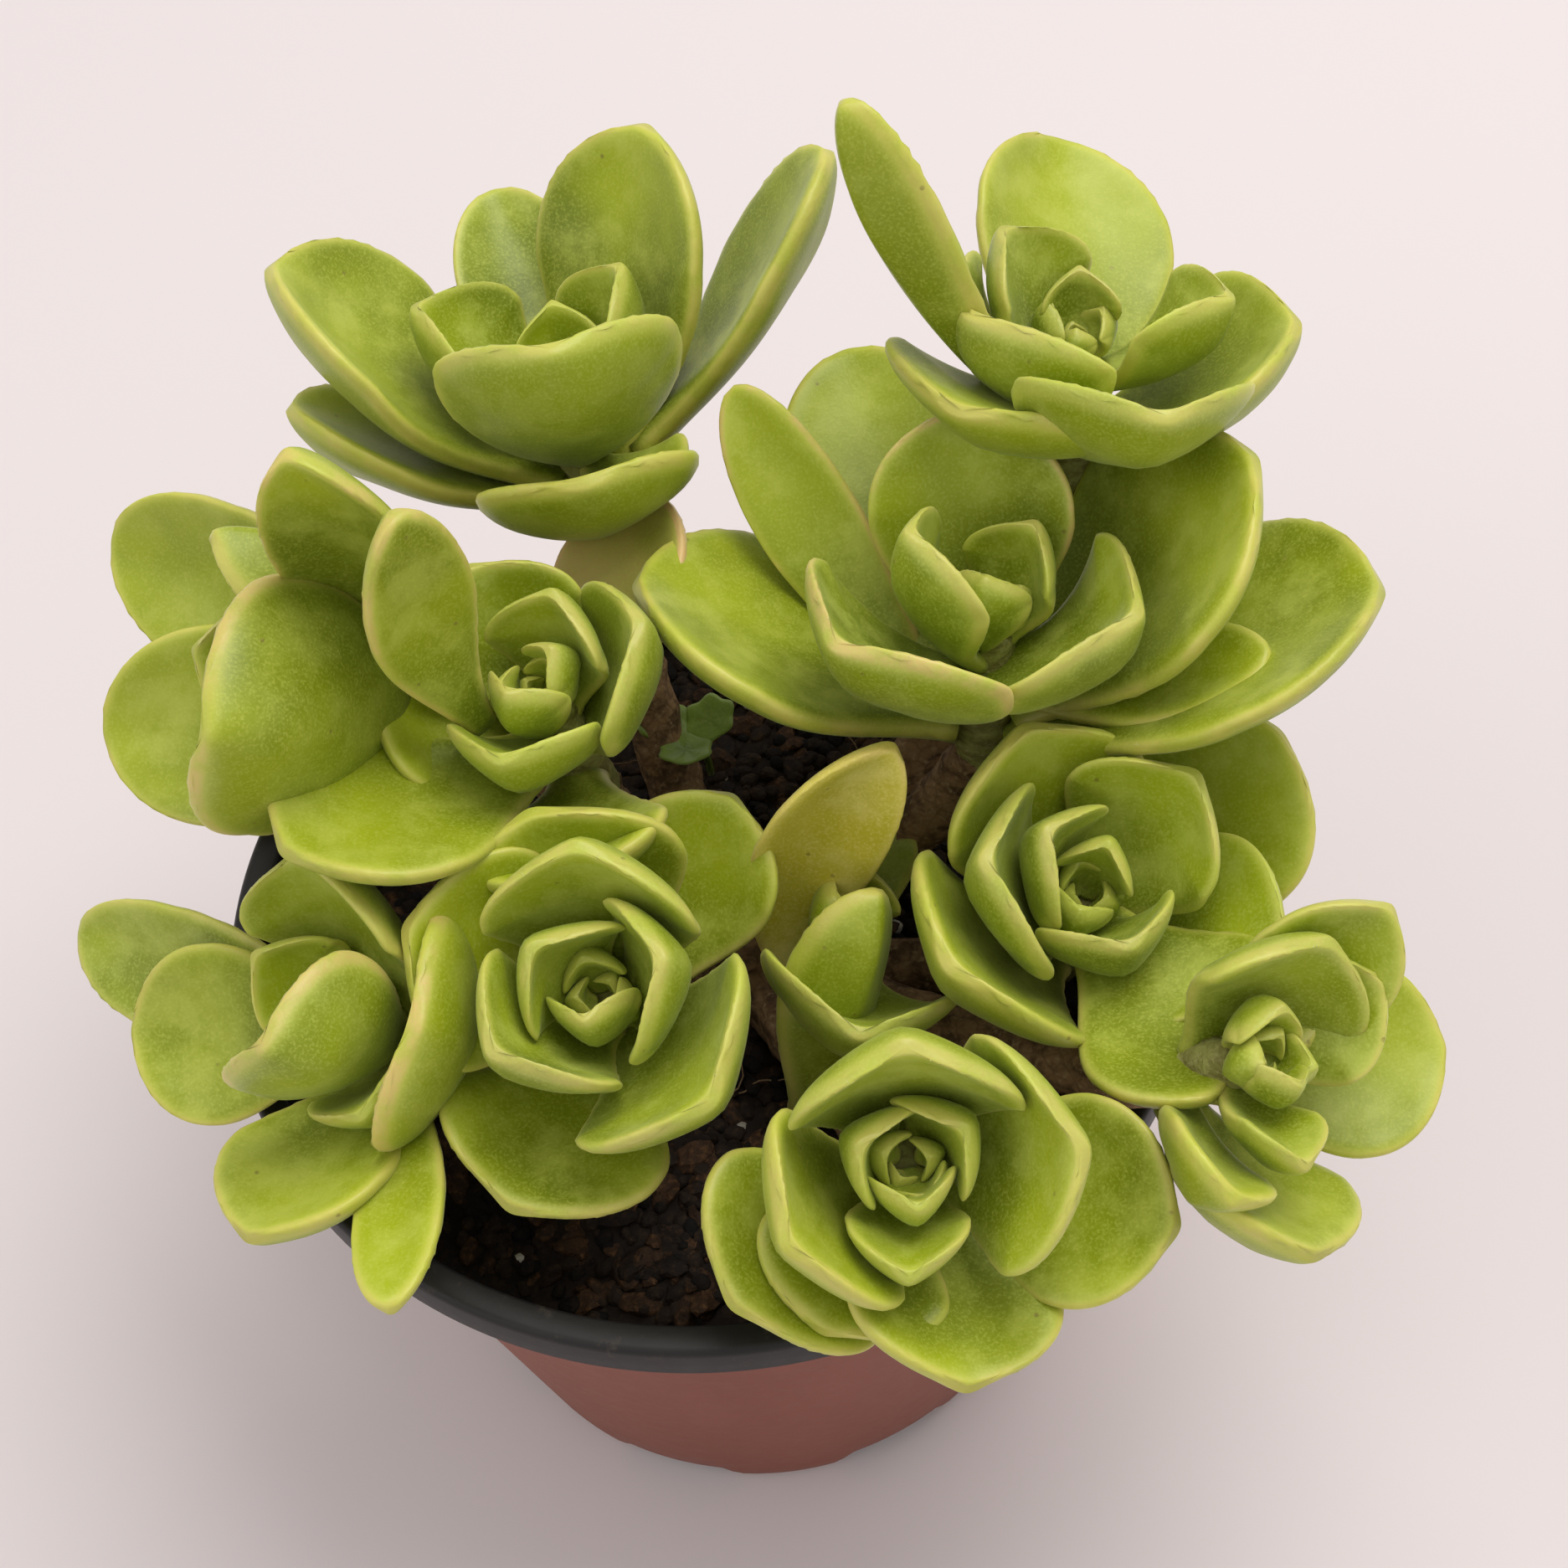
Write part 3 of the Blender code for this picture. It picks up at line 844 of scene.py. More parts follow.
    def ripple(self, u: Array, v: Array) -> Array:
        """A slow wave of the margin and a faint unevenness, which no two leaves share.

        Args:
            u: Fractions along the leaf.
            v: Fractions across it, from -1 to 1.

        Returns:
            Heights over the smooth leaf, in metres.
        """
        count, shift, size = self.wave
        edge = np.abs(v) ** 2 * smoothstep(0.2, 0.8, u) * np.sin(u * count + np.sign(v) * shift) * size
        tilt = v * smoothstep(0.3, 1.0, u) * self.tilt
        dimple = np.sin(u * 9 + self.phase) * np.cos(v * 2.6 + self.phase * 2) * 0.12 * MM
        return edge + tilt + dimple

    def sheets(self, u: Array, v: Array, x: Array, y: Array, depth: Array) -> tuple[Array, ...]:
        """Makes the leaf's two skins, which meet at the margin.

        Args:
            u: Fractions along the leaf.
            v: Fractions across it, from -1 to 1.
            x: Flat distances across, in metres.
            y: Flat distances along, in metres.
            depth: Distances in from the outline, in metres.

        Returns:
            The points of the upper and lower skins, then the leaf maps of both.
        """
        lip = 1 - np.minimum(depth / (self.lip_reach * self.thick), 1.0)
        near = 1 - np.minimum(depth / (self.belly_reach * self.thick), 1.0)
        full = self.thick * (1.0 - self.tip_thinning * u)
        rounded = full * np.sqrt(1 - lip**2)
        belly = full * (1 - near**2)
        point = self.tip_point * min(self.width / GROWTH.widest_leaf + 0.2, 1.0)
        nose = np.exp(-((x / (0.09 * self.width)) ** 2)) * smoothstep(0.86, 1.0, u)
        y = y + point * nose
        if self.leaf.notch:
            notch = self.leaf.notch * MM
            dent = np.exp(-((x / (0.95 * notch)) ** 2)) * smoothstep(0.5, 0.97, u)
            y = y - (notch + point) * dent
        middle, normal = self.lift_off(u, v, x, y)
        keel = self.keel_share * belly * np.exp(-((v / 0.3) ** 2)) * smoothstep(0.45, 0.8, u)
        face = rounded * self.face_share
        top = middle + normal * face[..., None]
        bottom = middle - normal * (face + belly * self.belly_share + keel)[..., None]
        top[:, 0], top[:, -1] = bottom[:, 0], bottom[:, -1] = middle[:, 0], middle[:, -1]
        rim = np.exp(-((depth / self.rim_width) ** 2))
        blush = np.full_like(rim, self.leaf.blush)
        map_top = np.stack([rim, u, np.full_like(rim, 0.9), blush], -1)
        map_bottom = np.stack([rim, u, np.full_like(rim, 0.1), blush], -1)
        map_top[:, 0, 2] = map_top[:, -1, 2] = 0.5
        return top, bottom, map_top, map_bottom


@dataclass
class DownCoat:
    """The down of a rosette: short tapered hairs, thickest along the leaf margins."""

    length: float = 0.42 * MM
    radius: float = 0.03 * MM
    density: float = 3.6e6
    seed: int = 11

    def tree(self) -> bpy.types.GeometryNodeTree:
        """Makes the node group that grows hairs on a mesh, once for all rosettes.

        Returns:
            The node group.
        """
        made = bpy.data.node_groups.get("down_coat")
        if made:
            return made
        tree = bpy.data.node_groups.new("down_coat", "GeometryNodeTree")
        face = tree.interface
        face.new_socket("Geometry", in_out="INPUT", socket_type="NodeSocketGeometry")
        for label in ("Density", "Length", "Radius"):
            face.new_socket(label, in_out="INPUT", socket_type="NodeSocketFloat")
        face.new_socket("Seed", in_out="INPUT", socket_type="NodeSocketInt")
        face.new_socket("Geometry", in_out="OUTPUT", socket_type="NodeSocketGeometry")
        n = Nodes(tree)
        given = n.add("NodeGroupInput").outputs
        rim = n.add("GeometryNodeInputNamedAttribute", {"Name": "rim"}, data_type="FLOAT")
        near = n.math("MULTIPLY", n.socket(rim.outputs, "Attribute"), given["Density"])
        points = n.add(
            "GeometryNodeDistributePointsOnFaces",
            {"Mesh": given["Geometry"], "Density": near, "Seed": given["Seed"]},
        )
        cone = n.add(
            "GeometryNodeMeshCone",
            {"Vertices": 3, "Radius Top": 0.0, "Radius Bottom": given["Radius"], "Depth": given["Length"]},
            fill_type="NONE",
        )
        swing = n.add(
            "FunctionNodeRandomValue", {0: (-0.7, -0.7, 0.0), 1: (0.7, 0.7, 6.28), "Seed": 3},
            data_type="FLOAT_VECTOR",
        )
        turned = n.add(
            "FunctionNodeRotateRotation",
            {"Rotation": points.outputs["Rotation"], "Rotate By": swing.outputs[0]},
            rotation_space="LOCAL",
        )
        size = n.add("FunctionNodeRandomValue", {2: 0.55, 3: 1.3, "Seed": 5}, data_type="FLOAT")
        hairs = n.add(
            "GeometryNodeInstanceOnPoints",
            {
                "Points": points.outputs["Points"],
                "Instance": cone.outputs["Mesh"],
                "Rotation": turned.outputs[0],
                "Scale": n.socket(size.outputs, "Value"),
            },
        )
        real = n.add("GeometryNodeRealizeInstances", {"Geometry": hairs.outputs["Instances"]})
        dressed = n.add(
            "GeometryNodeSetMaterial",
            {"Geometry": real.outputs["Geometry"], "Material": Finish.DOWN.material()},
        )
        n.add("NodeGroupOutput", {"Geometry": dressed.outputs["Geometry"]})
        return tree

    def grow(self, name: str, skin: bpy.types.Object) -> bpy.types.Object:
        """Grows the down over a skin.

        Args:
            name: Name of the new piece.
            skin: The leaves' mesh object, with its rim attribute.

        Returns:
            The hairs as a plain mesh piece.
        """
        values = {"Density": self.density, "Length": self.length, "Radius": self.radius, "Seed": self.seed}
        return bake_nodes(name, skin, self.tree(), values)


def bake_nodes(
    name: str, base: bpy.types.Object, tree: bpy.types.GeometryNodeTree, values: dict[str, float]
) -> bpy.types.Object:
    """Evaluates a geometry node group on a mesh and keeps the result as a plain piece.

    Args:
        name: Name of the new piece.
        base: The mesh object that the group reads, left as it was.
        tree: The node group.
        values: Its inputs by name.

    Returns:
        The new object.
    """
    step = base.modifiers.new("grow", "NODES")
    step.node_group = tree
    for item in tree.interface.items_tree:
        if item.in_out == "INPUT" and item.name in values:
            step[item.identifier] = values[item.name]
    bpy.context.view_layer.update()
    graph = bpy.context.evaluated_depsgraph_get()
    mesh = bpy.data.meshes.new_from_object(base.evaluated_get(graph))
    base.modifiers.remove(step)
    mesh.name = name
    made = bpy.data.objects.new(name, mesh)
    bpy.context.scene.collection.objects.link(made)
    LOG.info("%s: %d faces", name, len(mesh.polygons))
    return made


@dataclass
class RosetteBuilder:
    """Builds one rosette: its heart, its outer leaves and its down."""

    rosette: Rosette
    seed: int
    tip_radius: float = 3.0 * MM
    inner_start: float = 0.4
    outer_start: float = 0.87
    bud_leaves: int = 4
    bud_length: float = 3.6
    bud_growth: float = 1.3
    golden_angle: float = 137.5
    least_down: float = 0.16
    down: DownCoat = field(default_factory=DownCoat)

    def build(self) -> list[bpy.types.Object]:
        """Builds the pieces, attaches them to the root and hides the CAD nodes that they stand for.

        Returns:
            The heart, each outer leaf and the down.
        """
        r = self.rosette
        coat = MeshData()
        heart = MeshData()
        rng = np.random.default_rng(self.seed)
        self.add_tip(heart, rng)
        inner = self.bud() + list(enumerate(r.inner))
        for place, leaf in inner:
            blade = LeafBlade(r, leaf, place, self.tip_radius * self.inner_start, rng)
            self.add_blade(heart, coat, blade)
        made = [heart.build(f"{r.name}_young_leaves", [Finish.YOUNG.material(), Finish.TIP.material()])]
        declare(made[0], "young_leaf_green", f"{r.name}_heart")
        for count, leaf in enumerate(r.outer):
            node = r.node_of(count)
            old = node == "old_yellow_leaf"
            data = MeshData()
            place = len(r.inner) + count
            blade = LeafBlade(r, leaf, place, self.tip_radius * self.outer_start, rng)
            self.add_blade(data, coat, blade)
            finish, slot = (Finish.OLD, "old_leaf_yellow") if old else (Finish.LEAF, "leaf_green")
            piece = data.build(f"{node}_blade", [finish.material()])
            declare(piece, slot, node)
            made.append(piece)
        skin = coat.build("coat_base", [])
        hairs = self.down.grow(f"{r.name}_down", skin)
        bpy.data.objects.remove(skin, do_unlink=True)
        declare(hairs, "leaf_green")
        return made + [hairs]

    def bud(self) -> list[tuple[int, Leaf]]:
        """Lays out tiny leaves closed over the growing point, a golden angle apart.

        Returns:
            The place and the row of each.
        """
        leaves = []
        for k in range(self.bud_leaves):
            length = self.bud_length + self.bud_growth * k
            turn = (self.seed * 47 + self.golden_angle * k) % 360
            drop = -0.6 + 0.25 * k
            leaf = Leaf(turn, 84 - 4 * k, length, length * 1.15, drop=drop, curl=72, blush=0.1)
            leaves.append((0, leaf))
        return leaves

    def add_blade(self, data: MeshData, coat: MeshData, blade: LeafBlade) -> None:
        """Adds one leaf to a piece and to the skin that grows the down.

        Args:
            data: The piece.
            coat: The skin, whose rim attribute is the share of hairs.
            blade: The leaf.
        """
        points, faces, leaf_map = blade.surface()
        data.add(points, faces, 0, leaf_map=leaf_map)
        # The down grows from the skin's inner side, so it shows only where the margin is thin.
        inside_out = [face[::-1] for face in faces]
        share = self.least_down + (1 - self.least_down) * leaf_map[:, 0]
        coat.add(points, inside_out, 0, rim=share)

    def add_tip(self, heart: MeshData, rng: np.random.Generator) -> None:
        """Adds the stem tip, ringed with the scars of shed leaves.

        Args:
            heart: The piece that it joins.
            rng: Source of the scars' phases.
        """
        r = self.rosette
        length = r.tip_mm * MM
        steps = np.linspace(0.0, 1.0, 26)
        path = [r.crown - r.axis * length * (1 - s) for s in steps]
        radii = [self.tip_radius * (1.0 - 0.25 * s**6) for s in steps]
        phase = rng.uniform(0, 6, 3)

        def scars(along: float, turn: float) -> float:
            """The scars' height there."""
            ring = math.sin(along * 34 + turn * 2 + phase[0])
            return 0.22 * MM * max(0.0, ring) ** 3 + 0.08 * MM * math.sin(turn * 3 + along * 21 + phase[1])

        points, faces = tube_body(path, radii, 18, scars)
        plain = np.tile([0.0, 0.2, 0.5, 0.1], (len(points), 1))
        heart.add(points, faces, 1, leaf_map=plain)


def declare(piece: bpy.types.Object, slot: str, *nodes: str) -> None:
    """Fixes a finished piece to the model.

    Args:
        piece: The piece, in place.
        slot: Not used.
        nodes: The CAD nodes it stands for.
    """
    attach(piece, "root")
    if nodes:
        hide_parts(*nodes)


ROSETTES = (
    Rosette("front_left", (-11, -21, 92), 250, 25,
        (Leaf(268, 80, 11), Leaf(135, 72, 15, 18), Leaf(5, 66, 19, 20), Leaf(215, 64, 21, 22),
         Leaf(82, 60, 24, 25), Leaf(312, 50, 26, 27)),
        (Leaf(154, 44, 24), Leaf(56, 12, 23, 20, drop=12), Leaf(240, 32, 24, 26), Leaf(103, 48, 25))),
    Rosette("centre_right", (33, 11, 104), 60, 12,
        (Leaf(240, 80, 10), Leaf(40, 72, 14, 15), Leaf(190, 65, 20, 20), Leaf(318, 44, 22, 28, twist=13),
         Leaf(217, 37, 27, 31, blush=0.4), Leaf(93, 61, 29, 24, twist=-18, blush=0.5)),
        (Leaf(343, 22, 29, 13, twist=15), Leaf(106, 24, 44, 24, twist=-12), Leaf(10, 50, 38, 34),
         Leaf(167, 21, 38, 34, twist=10), Leaf(352, 31, 43, 34, twist=-4),
         Leaf(134, 42, 44, 12, twist=-49, reach=4, drop=15, blush=0.4))),
    Rosette("mid_left", (-14, 9, 103), 200, 10,
        (Leaf(20, 80, 9), Leaf(240, 75, 11, 12), Leaf(60, 65, 15, 17), Leaf(255, 50, 17, 19),
         Leaf(114, 52, 20, 21), Leaf(4, 55, 20, 22), Leaf(66, 9, 30, 19, twist=-15, blush=0.95)),
        (Leaf(164, 44, 22, 24), Leaf(268, 28, 23, 24),
         Leaf(194, 95, 35, 13, twist=-68, blush=0.3, drop=-2, reach=7), Leaf(216, 30, 33, 25, drop=5))),
    Rosette("mid_right", (39, -13, 87), 300, 15,
        (Leaf(60, 80, 10), Leaf(150, 72, 16, 18), Leaf(281, 60, 16, 18), Leaf(38, 52, 21),
         Leaf(178, 60, 22), Leaf(334, 36, 24)),
        (Leaf(110, 55, 24), Leaf(210, 50, 26), Leaf(35, 30, 30),
         Leaf(298, 26, 29, 28, drop=1, name="notched_leaf", notch=4.5))),
    Rosette("front_centre", (17, -43, 91), 272, 32,
        (Leaf(270, 75, 10), Leaf(150, 70, 12), Leaf(30, 68, 13), Leaf(262, 55, 16, 14),
         Leaf(88, 65, 24), Leaf(0, 52, 24)),
        (Leaf(205, 60, 22), Leaf(278, 32, 23, 24, twist=-25), Leaf(340, 26, 27, 22), Leaf(213, 34, 23),
         Leaf(237, 31, 18, 21, drop=8))),
    Rosette("front_right", (51, -37, 92), 328, 42,
        (Leaf(270, 75, 8), Leaf(90, 70, 9), Leaf(270, 45, 14, 12), Leaf(28, 48, 18, 17),
         Leaf(50, 50, 24, 17), Leaf(70, 62, 20)),
        (Leaf(236, 46, 20, 14), Leaf(0, 28, 26, 22), Leaf(277, 39, 22, 26, twist=-14)), tip_mm=13),
    Rosette("left_low", (-37, -16, 86), 200, 35,
        (Leaf(200, 75, 9), Leaf(130, 60, 14), Leaf(300, 70, 25, 23, blush=0.35), Leaf(68, 55, 23),
         Leaf(285, 42, 16), Leaf(152, 11, 38, 16, twist=-24, drop=-1, curl=18)),
        (Leaf(172, 28, 24, 21, twist=-24, drop=1, curl=18), Leaf(250, 36, 27, 21, twist=-10, drop=6),
         Leaf(335, 55, 25, blush=0.4), Leaf(283, 20, 34, 10, twist=-23, drop=4))),
    Rosette("left", (-35, 19, 97), 190, 66,
        (Leaf(90, 80, 9), Leaf(135, 66, 20), Leaf(58, 53, 26, 15, twist=-18)),
        (Leaf(332, 48, 38, 32, twist=-7, drop=4, blush=0.35),
         Leaf(15, 28, 43, 18, twist=73, drop=2, blush=0.35), Leaf(135, 36, 46, 24),
         Leaf(171, 45, 42, 25, twist=-13))),
    Rosette("back_left", (-9, 47, 108), 100, 20,
        (Leaf(90, 80, 12), Leaf(20, 65, 18), Leaf(167, 50, 22), Leaf(273, 46, 30, 31),
         Leaf(102, 34, 37, 18, twist=4), Leaf(310, 5, 14)),
        (Leaf(172, 47, 40, 32), Leaf(49, 64, 39, 28, twist=-7), Leaf(183, 32, 33, 19), Leaf(275, 35, 24),
         Leaf(14, 46, 40, 21, twist=-8, drop=7, reach=6))),
    Rosette("back_right", (46, 36, 117), 70, 18,
        (Leaf(90, 80, 10), Leaf(335, 40, 19), Leaf(140, 60, 18), Leaf(207, 45, 19, 32, twist=-4),
         Leaf(279, 27, 29, 28, twist=-7)),
        (Leaf(87, 26, 38, 28, twist=25), Leaf(345, 37, 25, 28, twist=9),
         Leaf(189, 58, 45, 12, twist=30, drop=6), Leaf(225, 20, 19, 32, drop=4))),
    Rosette("middle", (15, -9, 78), 30, 20,
        (Leaf(90, 80, 9), Leaf(210, 70, 12), Leaf(260, 30, 24), Leaf(100, 30, 20)),
        (Leaf(165, 91, 40, 15, twist=-75, curl=60, name="old_yellow_leaf", blush=0.25, drop=10, reach=3),
         Leaf(253, 95, 32, 14, twist=41, drop=15, reach=11))),
)


# ------------------------------------------------------------------ stems


@dataclass
class Stems:
    """The trunk and the woody branches to each rosette."""

    rosettes: Sequence[Rosette]
    trunk_x: float = 2 * MM
    trunk_radius: float = 6.5 * MM
    trunk_bottom: float = 52 * MM
    trunk_top: float = 71 * MM
    branch_radius: float = 3.4 * MM
    tip_radius: float = 3.0 * MM
    sides: int = 20
    steps: int = 34

    def build(self) -> bpy.types.Object:
        """Builds the stems as one piece.

        Returns:
            The piece.
        """
        data = MeshData()
        heights = np.linspace(self.trunk_bottom, self.trunk_top, 16)
        path = [np.array([self.trunk_x, 0.0, h]) for h in heights]
        radii = [self.trunk_radius * (1 - 0.1 * k / 15) for k in range(16)]
        data.add(*tube_body(path, radii, 28, self.knots(0)), 0)
        for number, r in enumerate(self.rosettes):
            path, radii = self.branch(r)
            data.add(*tube_body(path, radii, self.sides, self.knots(number + 1)), 0)
        return data.build("stem_branches", [Finish.WOOD.material()])

    def branch(self, r: Rosette) -> tuple[list[Array], list[float]]:
        """Lays the branch under a rosette.

        Args:
            r: The rosette.

        Returns:
            The branch's centre points and its radius at each.
        """
        foot = r.crown - r.axis * (r.tip_mm * MM - 0.4 * MM)
        start = np.array([self.trunk_x + foot[0] * 0.05, foot[1] * 0.05, self.trunk_top - 5 * MM])
        height = min(foot[2] - 6 * MM, self.trunk_top + 2 * MM)
        control = np.array([foot[0] * 0.75, foot[1] * 0.75, height])
        share = np.linspace(0.0, 1.0, self.steps)
        path = [start * (1 - t) ** 2 + control * 2 * t * (1 - t) + foot * t * t for t in share]
        radii = [self.branch_radius + (self.tip_radius - self.branch_radius) * t for t in share]
        return path, radii

    @staticmethod
    def knots(number: int) -> Callable[[float, float], float]:
        """Shapes the bark of one stem.

        Args:
            number: The stem's number.

        Returns:
            The height of its swellings and leaf scars at (fraction along, turn).
        """
        phase = number * 1.7

        def bump(along: float, turn: float) -> float:
            """The bark's height there."""
            ring = max(0.0, math.sin(along * 46 + phase + math.sin(turn + phase) * 1.3)) ** 4
            rough = math.sin(turn * 4 + along * 30 + phase) * math.sin(turn * 3 - along * 17)
            return 0.30 * MM * ring + 0.16 * MM * rough

        return bump


# ------------------------------------------------------------------ pot and soil


@dataclass
class NurseryPot:
    """The thin tapered pot with a rolled rim and low arches round its foot."""

    height: float = 76 * MM
    rim_radius: float = 54 * MM
    rim_depth: float = 5 * MM
    rim_overhang: float = 2.5 * MM
    base_radius: float = 35.5 * MM
    wall: float = 1.0 * MM
    arches: int = 8
    arch_share: float = 0.5
    arch_height: float = 2.2 * MM
    arch_depth: float = 4.0 * MM
    turns: int = 192

    def radius_at(self, height: float) -> float:
        """The wall's outer radius at a height."""
        top = self.rim_radius - self.rim_overhang
        return self.base_radius + (top - self.base_radius) * height / self.height

    def profile(self) -> list[tuple[float, float, int]]:
        """The section from the underside's centre, over the rim, to the floor's centre.

        Returns:
            Radius, height and finish (0 wall, 1 liner) of each point.
        """
        h, rim, lip = self.height, self.rim_radius, 0.9 * MM
        base = self.base_radius
        out = [(0.0, 0.0, 0), (0.6 * base, 0.0, 0), (base - self.arch_depth, 0.0, 0)]
        out += [(self.base_radius - 1.5 * MM, 0.0, 0), (self.base_radius - 0.7 * MM, 0.2 * MM, 0)]
        out += [(self.base_radius - 0.1 * MM, 0.9 * MM, 0), (self.radius_at(2.6 * MM), 2.6 * MM, 0)]
        wall_top = h - self.rim_depth - 0.4 * MM
        for height in np.linspace(5 * MM, wall_top, 12):
            out.append((self.radius_at(height), height, 0))
        out += [(self.radius_at(wall_top) + 0.1 * MM, wall_top + 0.2 * MM, 1)]
        low = h - self.rim_depth
        out += [(rim - 0.9 * MM, low, 1), (rim - 0.3 * MM, low + 0.15 * MM, 1), (rim, low + 0.7 * MM, 1)]
        out += [(rim, h - 2.5 * MM, 1)]
        for k in range(6):
            turn = math.pi / 2 * k / 5
            out.append((rim - lip + lip * math.cos(turn), h - lip + lip * math.sin(turn), 1))
        inner = rim - self.rim_overhang - self.wall
        for k in range(1, 5):
            turn = math.pi / 2 * k / 4
            out.append((inner + lip * (1 - math.sin(turn)), h - lip + lip * math.cos(turn), 1))
        for height in np.linspace(h - 6 * MM, 2 * MM, 10):
            out.append((self.radius_at(height) - self.wall, height, 1))
        out += [(self.base_radius - 2.2 * MM, self.wall, 1), (0.0, self.wall, 1)]
        return out

    def raise_at(self, radius: float, height: float, turn: float) -> float:
        """Shapes the arches round the foot.

        Args:
            radius: Distance from the pot's axis, in metres.
            height: Height over the surface it stands on.
            turn: Turn round the axis, in radians.

        Returns:
            How far an arch lifts the shell there.
        """
        if height > 6 * MM or radius < self.base_radius - self.arch_depth - 0.1 * MM:
            return 0.0
        place = (turn / (2 * math.pi) * self.arches) % 1.0 - 0.5
        inside = 1 - float(smoothstep(0.7, 1.0, abs(place) / (self.arch_share / 2 + 0.03)))
        low = 1 - float(smoothstep(0.0, 6 * MM, height))
        return self.arch_height * inside * low

    def build(self) -> bpy.types.Object:
        """Builds the shell as one closed piece.

        Returns:
            The piece.
        """
        profile = self.profile()
        data = MeshData()
        points: list[Array] = []
        columns: list[list[int]] = []
        for k in range(self.turns):
            turn = 2 * math.pi * k / self.turns
            column = []
            for i, (radius, height, _) in enumerate(profile):
                if radius == 0 and columns:
                    column.append(columns[0][i])
                    continue
                column.append(len(points))
                up = height + (self.raise_at(radius, height, turn) if i < len(profile) - 3 else 0.0)
                wobble = 0.12 * MM * math.sin(2 * turn + 0.7) * height / self.height
                size = radius + (wobble if radius else 0.0)
                points.append(np.array([size * math.cos(turn), size * math.sin(turn), up]))
            columns.append(column)
        faces: Faces = []
        slots: list[int] = []
        for k, column in enumerate(columns):
            following = columns[(k + 1) % self.turns]
            for i in range(len(profile) - 1):
                corners = (column[i], following[i], following[i + 1], column[i + 1])
                faces.append(tuple(dict.fromkeys(corners)))
                slots.append(profile[i + 1][2])
        data.add(np.array(points), faces, 0)
        data.slots = slots
        return data.build("pot_shell", [Finish.WALL.material(), Finish.LINER.material()])


@dataclass
class Grit:
    """One kind of loose grain scattered over the soil."""

    name: str
    finish: Finish
    density: float
    size: tuple[float, float]
    stretch: tuple[float, float, float]
    seed: int
    jag: float = 0.35

    def tree(self) -> bpy.types.GeometryNodeTree:
        """Makes the node group that scatters this grain.

        Returns:
            The node group.
        """
        tree = bpy.data.node_groups.new(self.name, "GeometryNodeTree")
        face = tree.interface
        face.new_socket("Geometry", in_out="INPUT", socket_type="NodeSocketGeometry")
        for label in ("Density", "Least", "Most", "Jag"):
            face.new_socket(label, in_out="INPUT", socket_type="NodeSocketFloat")
        face.new_socket("Seed", in_out="INPUT", socket_type="NodeSocketInt")
        face.new_socket("Geometry", in_out="OUTPUT", socket_type="NodeSocketGeometry")
        n = Nodes(tree)
        given = n.add("NodeGroupInput").outputs
        points = n.add(
            "GeometryNodeDistributePointsOnFaces",
            {"Mesh": given["Geometry"], "Density": given["Density"], "Seed": given["Seed"]},
        )
        ball = n.add("GeometryNodeMeshIcoSphere", {"Radius": 1.0, "Subdivisions": 2})
        shape = n.add("GeometryNodeTransform", {"Geometry": ball.outputs["Mesh"], "Scale": self.stretch})
        swing = n.add(
            "FunctionNodeRandomValue", {0: (-0.6, -0.6, 0.0), 1: (0.6, 0.6, 6.28), "Seed": 7},
            data_type="FLOAT_VECTOR",
        )
        size = n.add(
            "FunctionNodeRandomValue", {2: given["Least"], 3: given["Most"], "Seed": 9}, data_type="FLOAT"
        )
        bits = n.add(
            "GeometryNodeInstanceOnPoints",
            {
                "Points": points.outputs["Points"],
                "Instance": shape.outputs["Geometry"],
                "Rotation": swing.outputs[0],
                "Scale": n.socket(size.outputs, "Value"),
            },
        )
        tone = n.add("FunctionNodeRandomValue", {2: 0.0, 3: 1.0, "Seed": 13}, data_type="FLOAT")
        marked = n.add(
            "GeometryNodeStoreNamedAttribute",
            {"Geometry": bits.outputs["Instances"], "Name": "tone", "Value": n.socket(tone.outputs, "Value")},
            data_type="FLOAT",
            domain="INSTANCE",
        )
        real = n.add("GeometryNodeRealizeInstances", {"Geometry": marked.outputs["Geometry"]})
        noise = n.add("ShaderNodeTexNoise", {"Scale": 620.0, "Detail": 2.0})
        centred = n.add(
            "ShaderNodeVectorMath", {0: noise.outputs["Color"], 1: (0.5, 0.5, 0.5)}, operation="SUBTRACT"
        )
        push = n.add("ShaderNodeVectorMath", {0: centred.outputs[0]}, operation="SCALE")
        n.feed(push.inputs["Scale"], n.math("MULTIPLY", given["Most"], given["Jag"]))
        rough = n.add(
            "GeometryNodeSetPosition", {"Geometry": real.outputs["Geometry"], "Offset": push.outputs[0]}
        )
        dressed = n.add(
            "GeometryNodeSetMaterial",
            {"Geometry": rough.outputs["Geometry"], "Material": self.finish.material()},
        )
        n.add("NodeGroupOutput", {"Geometry": dressed.outputs["Geometry"]})
        return tree

    def scatter(self, ground: bpy.types.Object) -> bpy.types.Object:
        """Scatters the grains over the ground.

        Args:
            ground: The mesh object that they lie on.

        Returns:
            The grains as one piece.
        """
        values = {
            "Density": self.density,
            "Least": self.size[0],
            "Most": self.size[1],
            "Jag": self.jag,
            "Seed": self.seed,
        }
        return bake_nodes(self.name, ground, self.tree(), values)


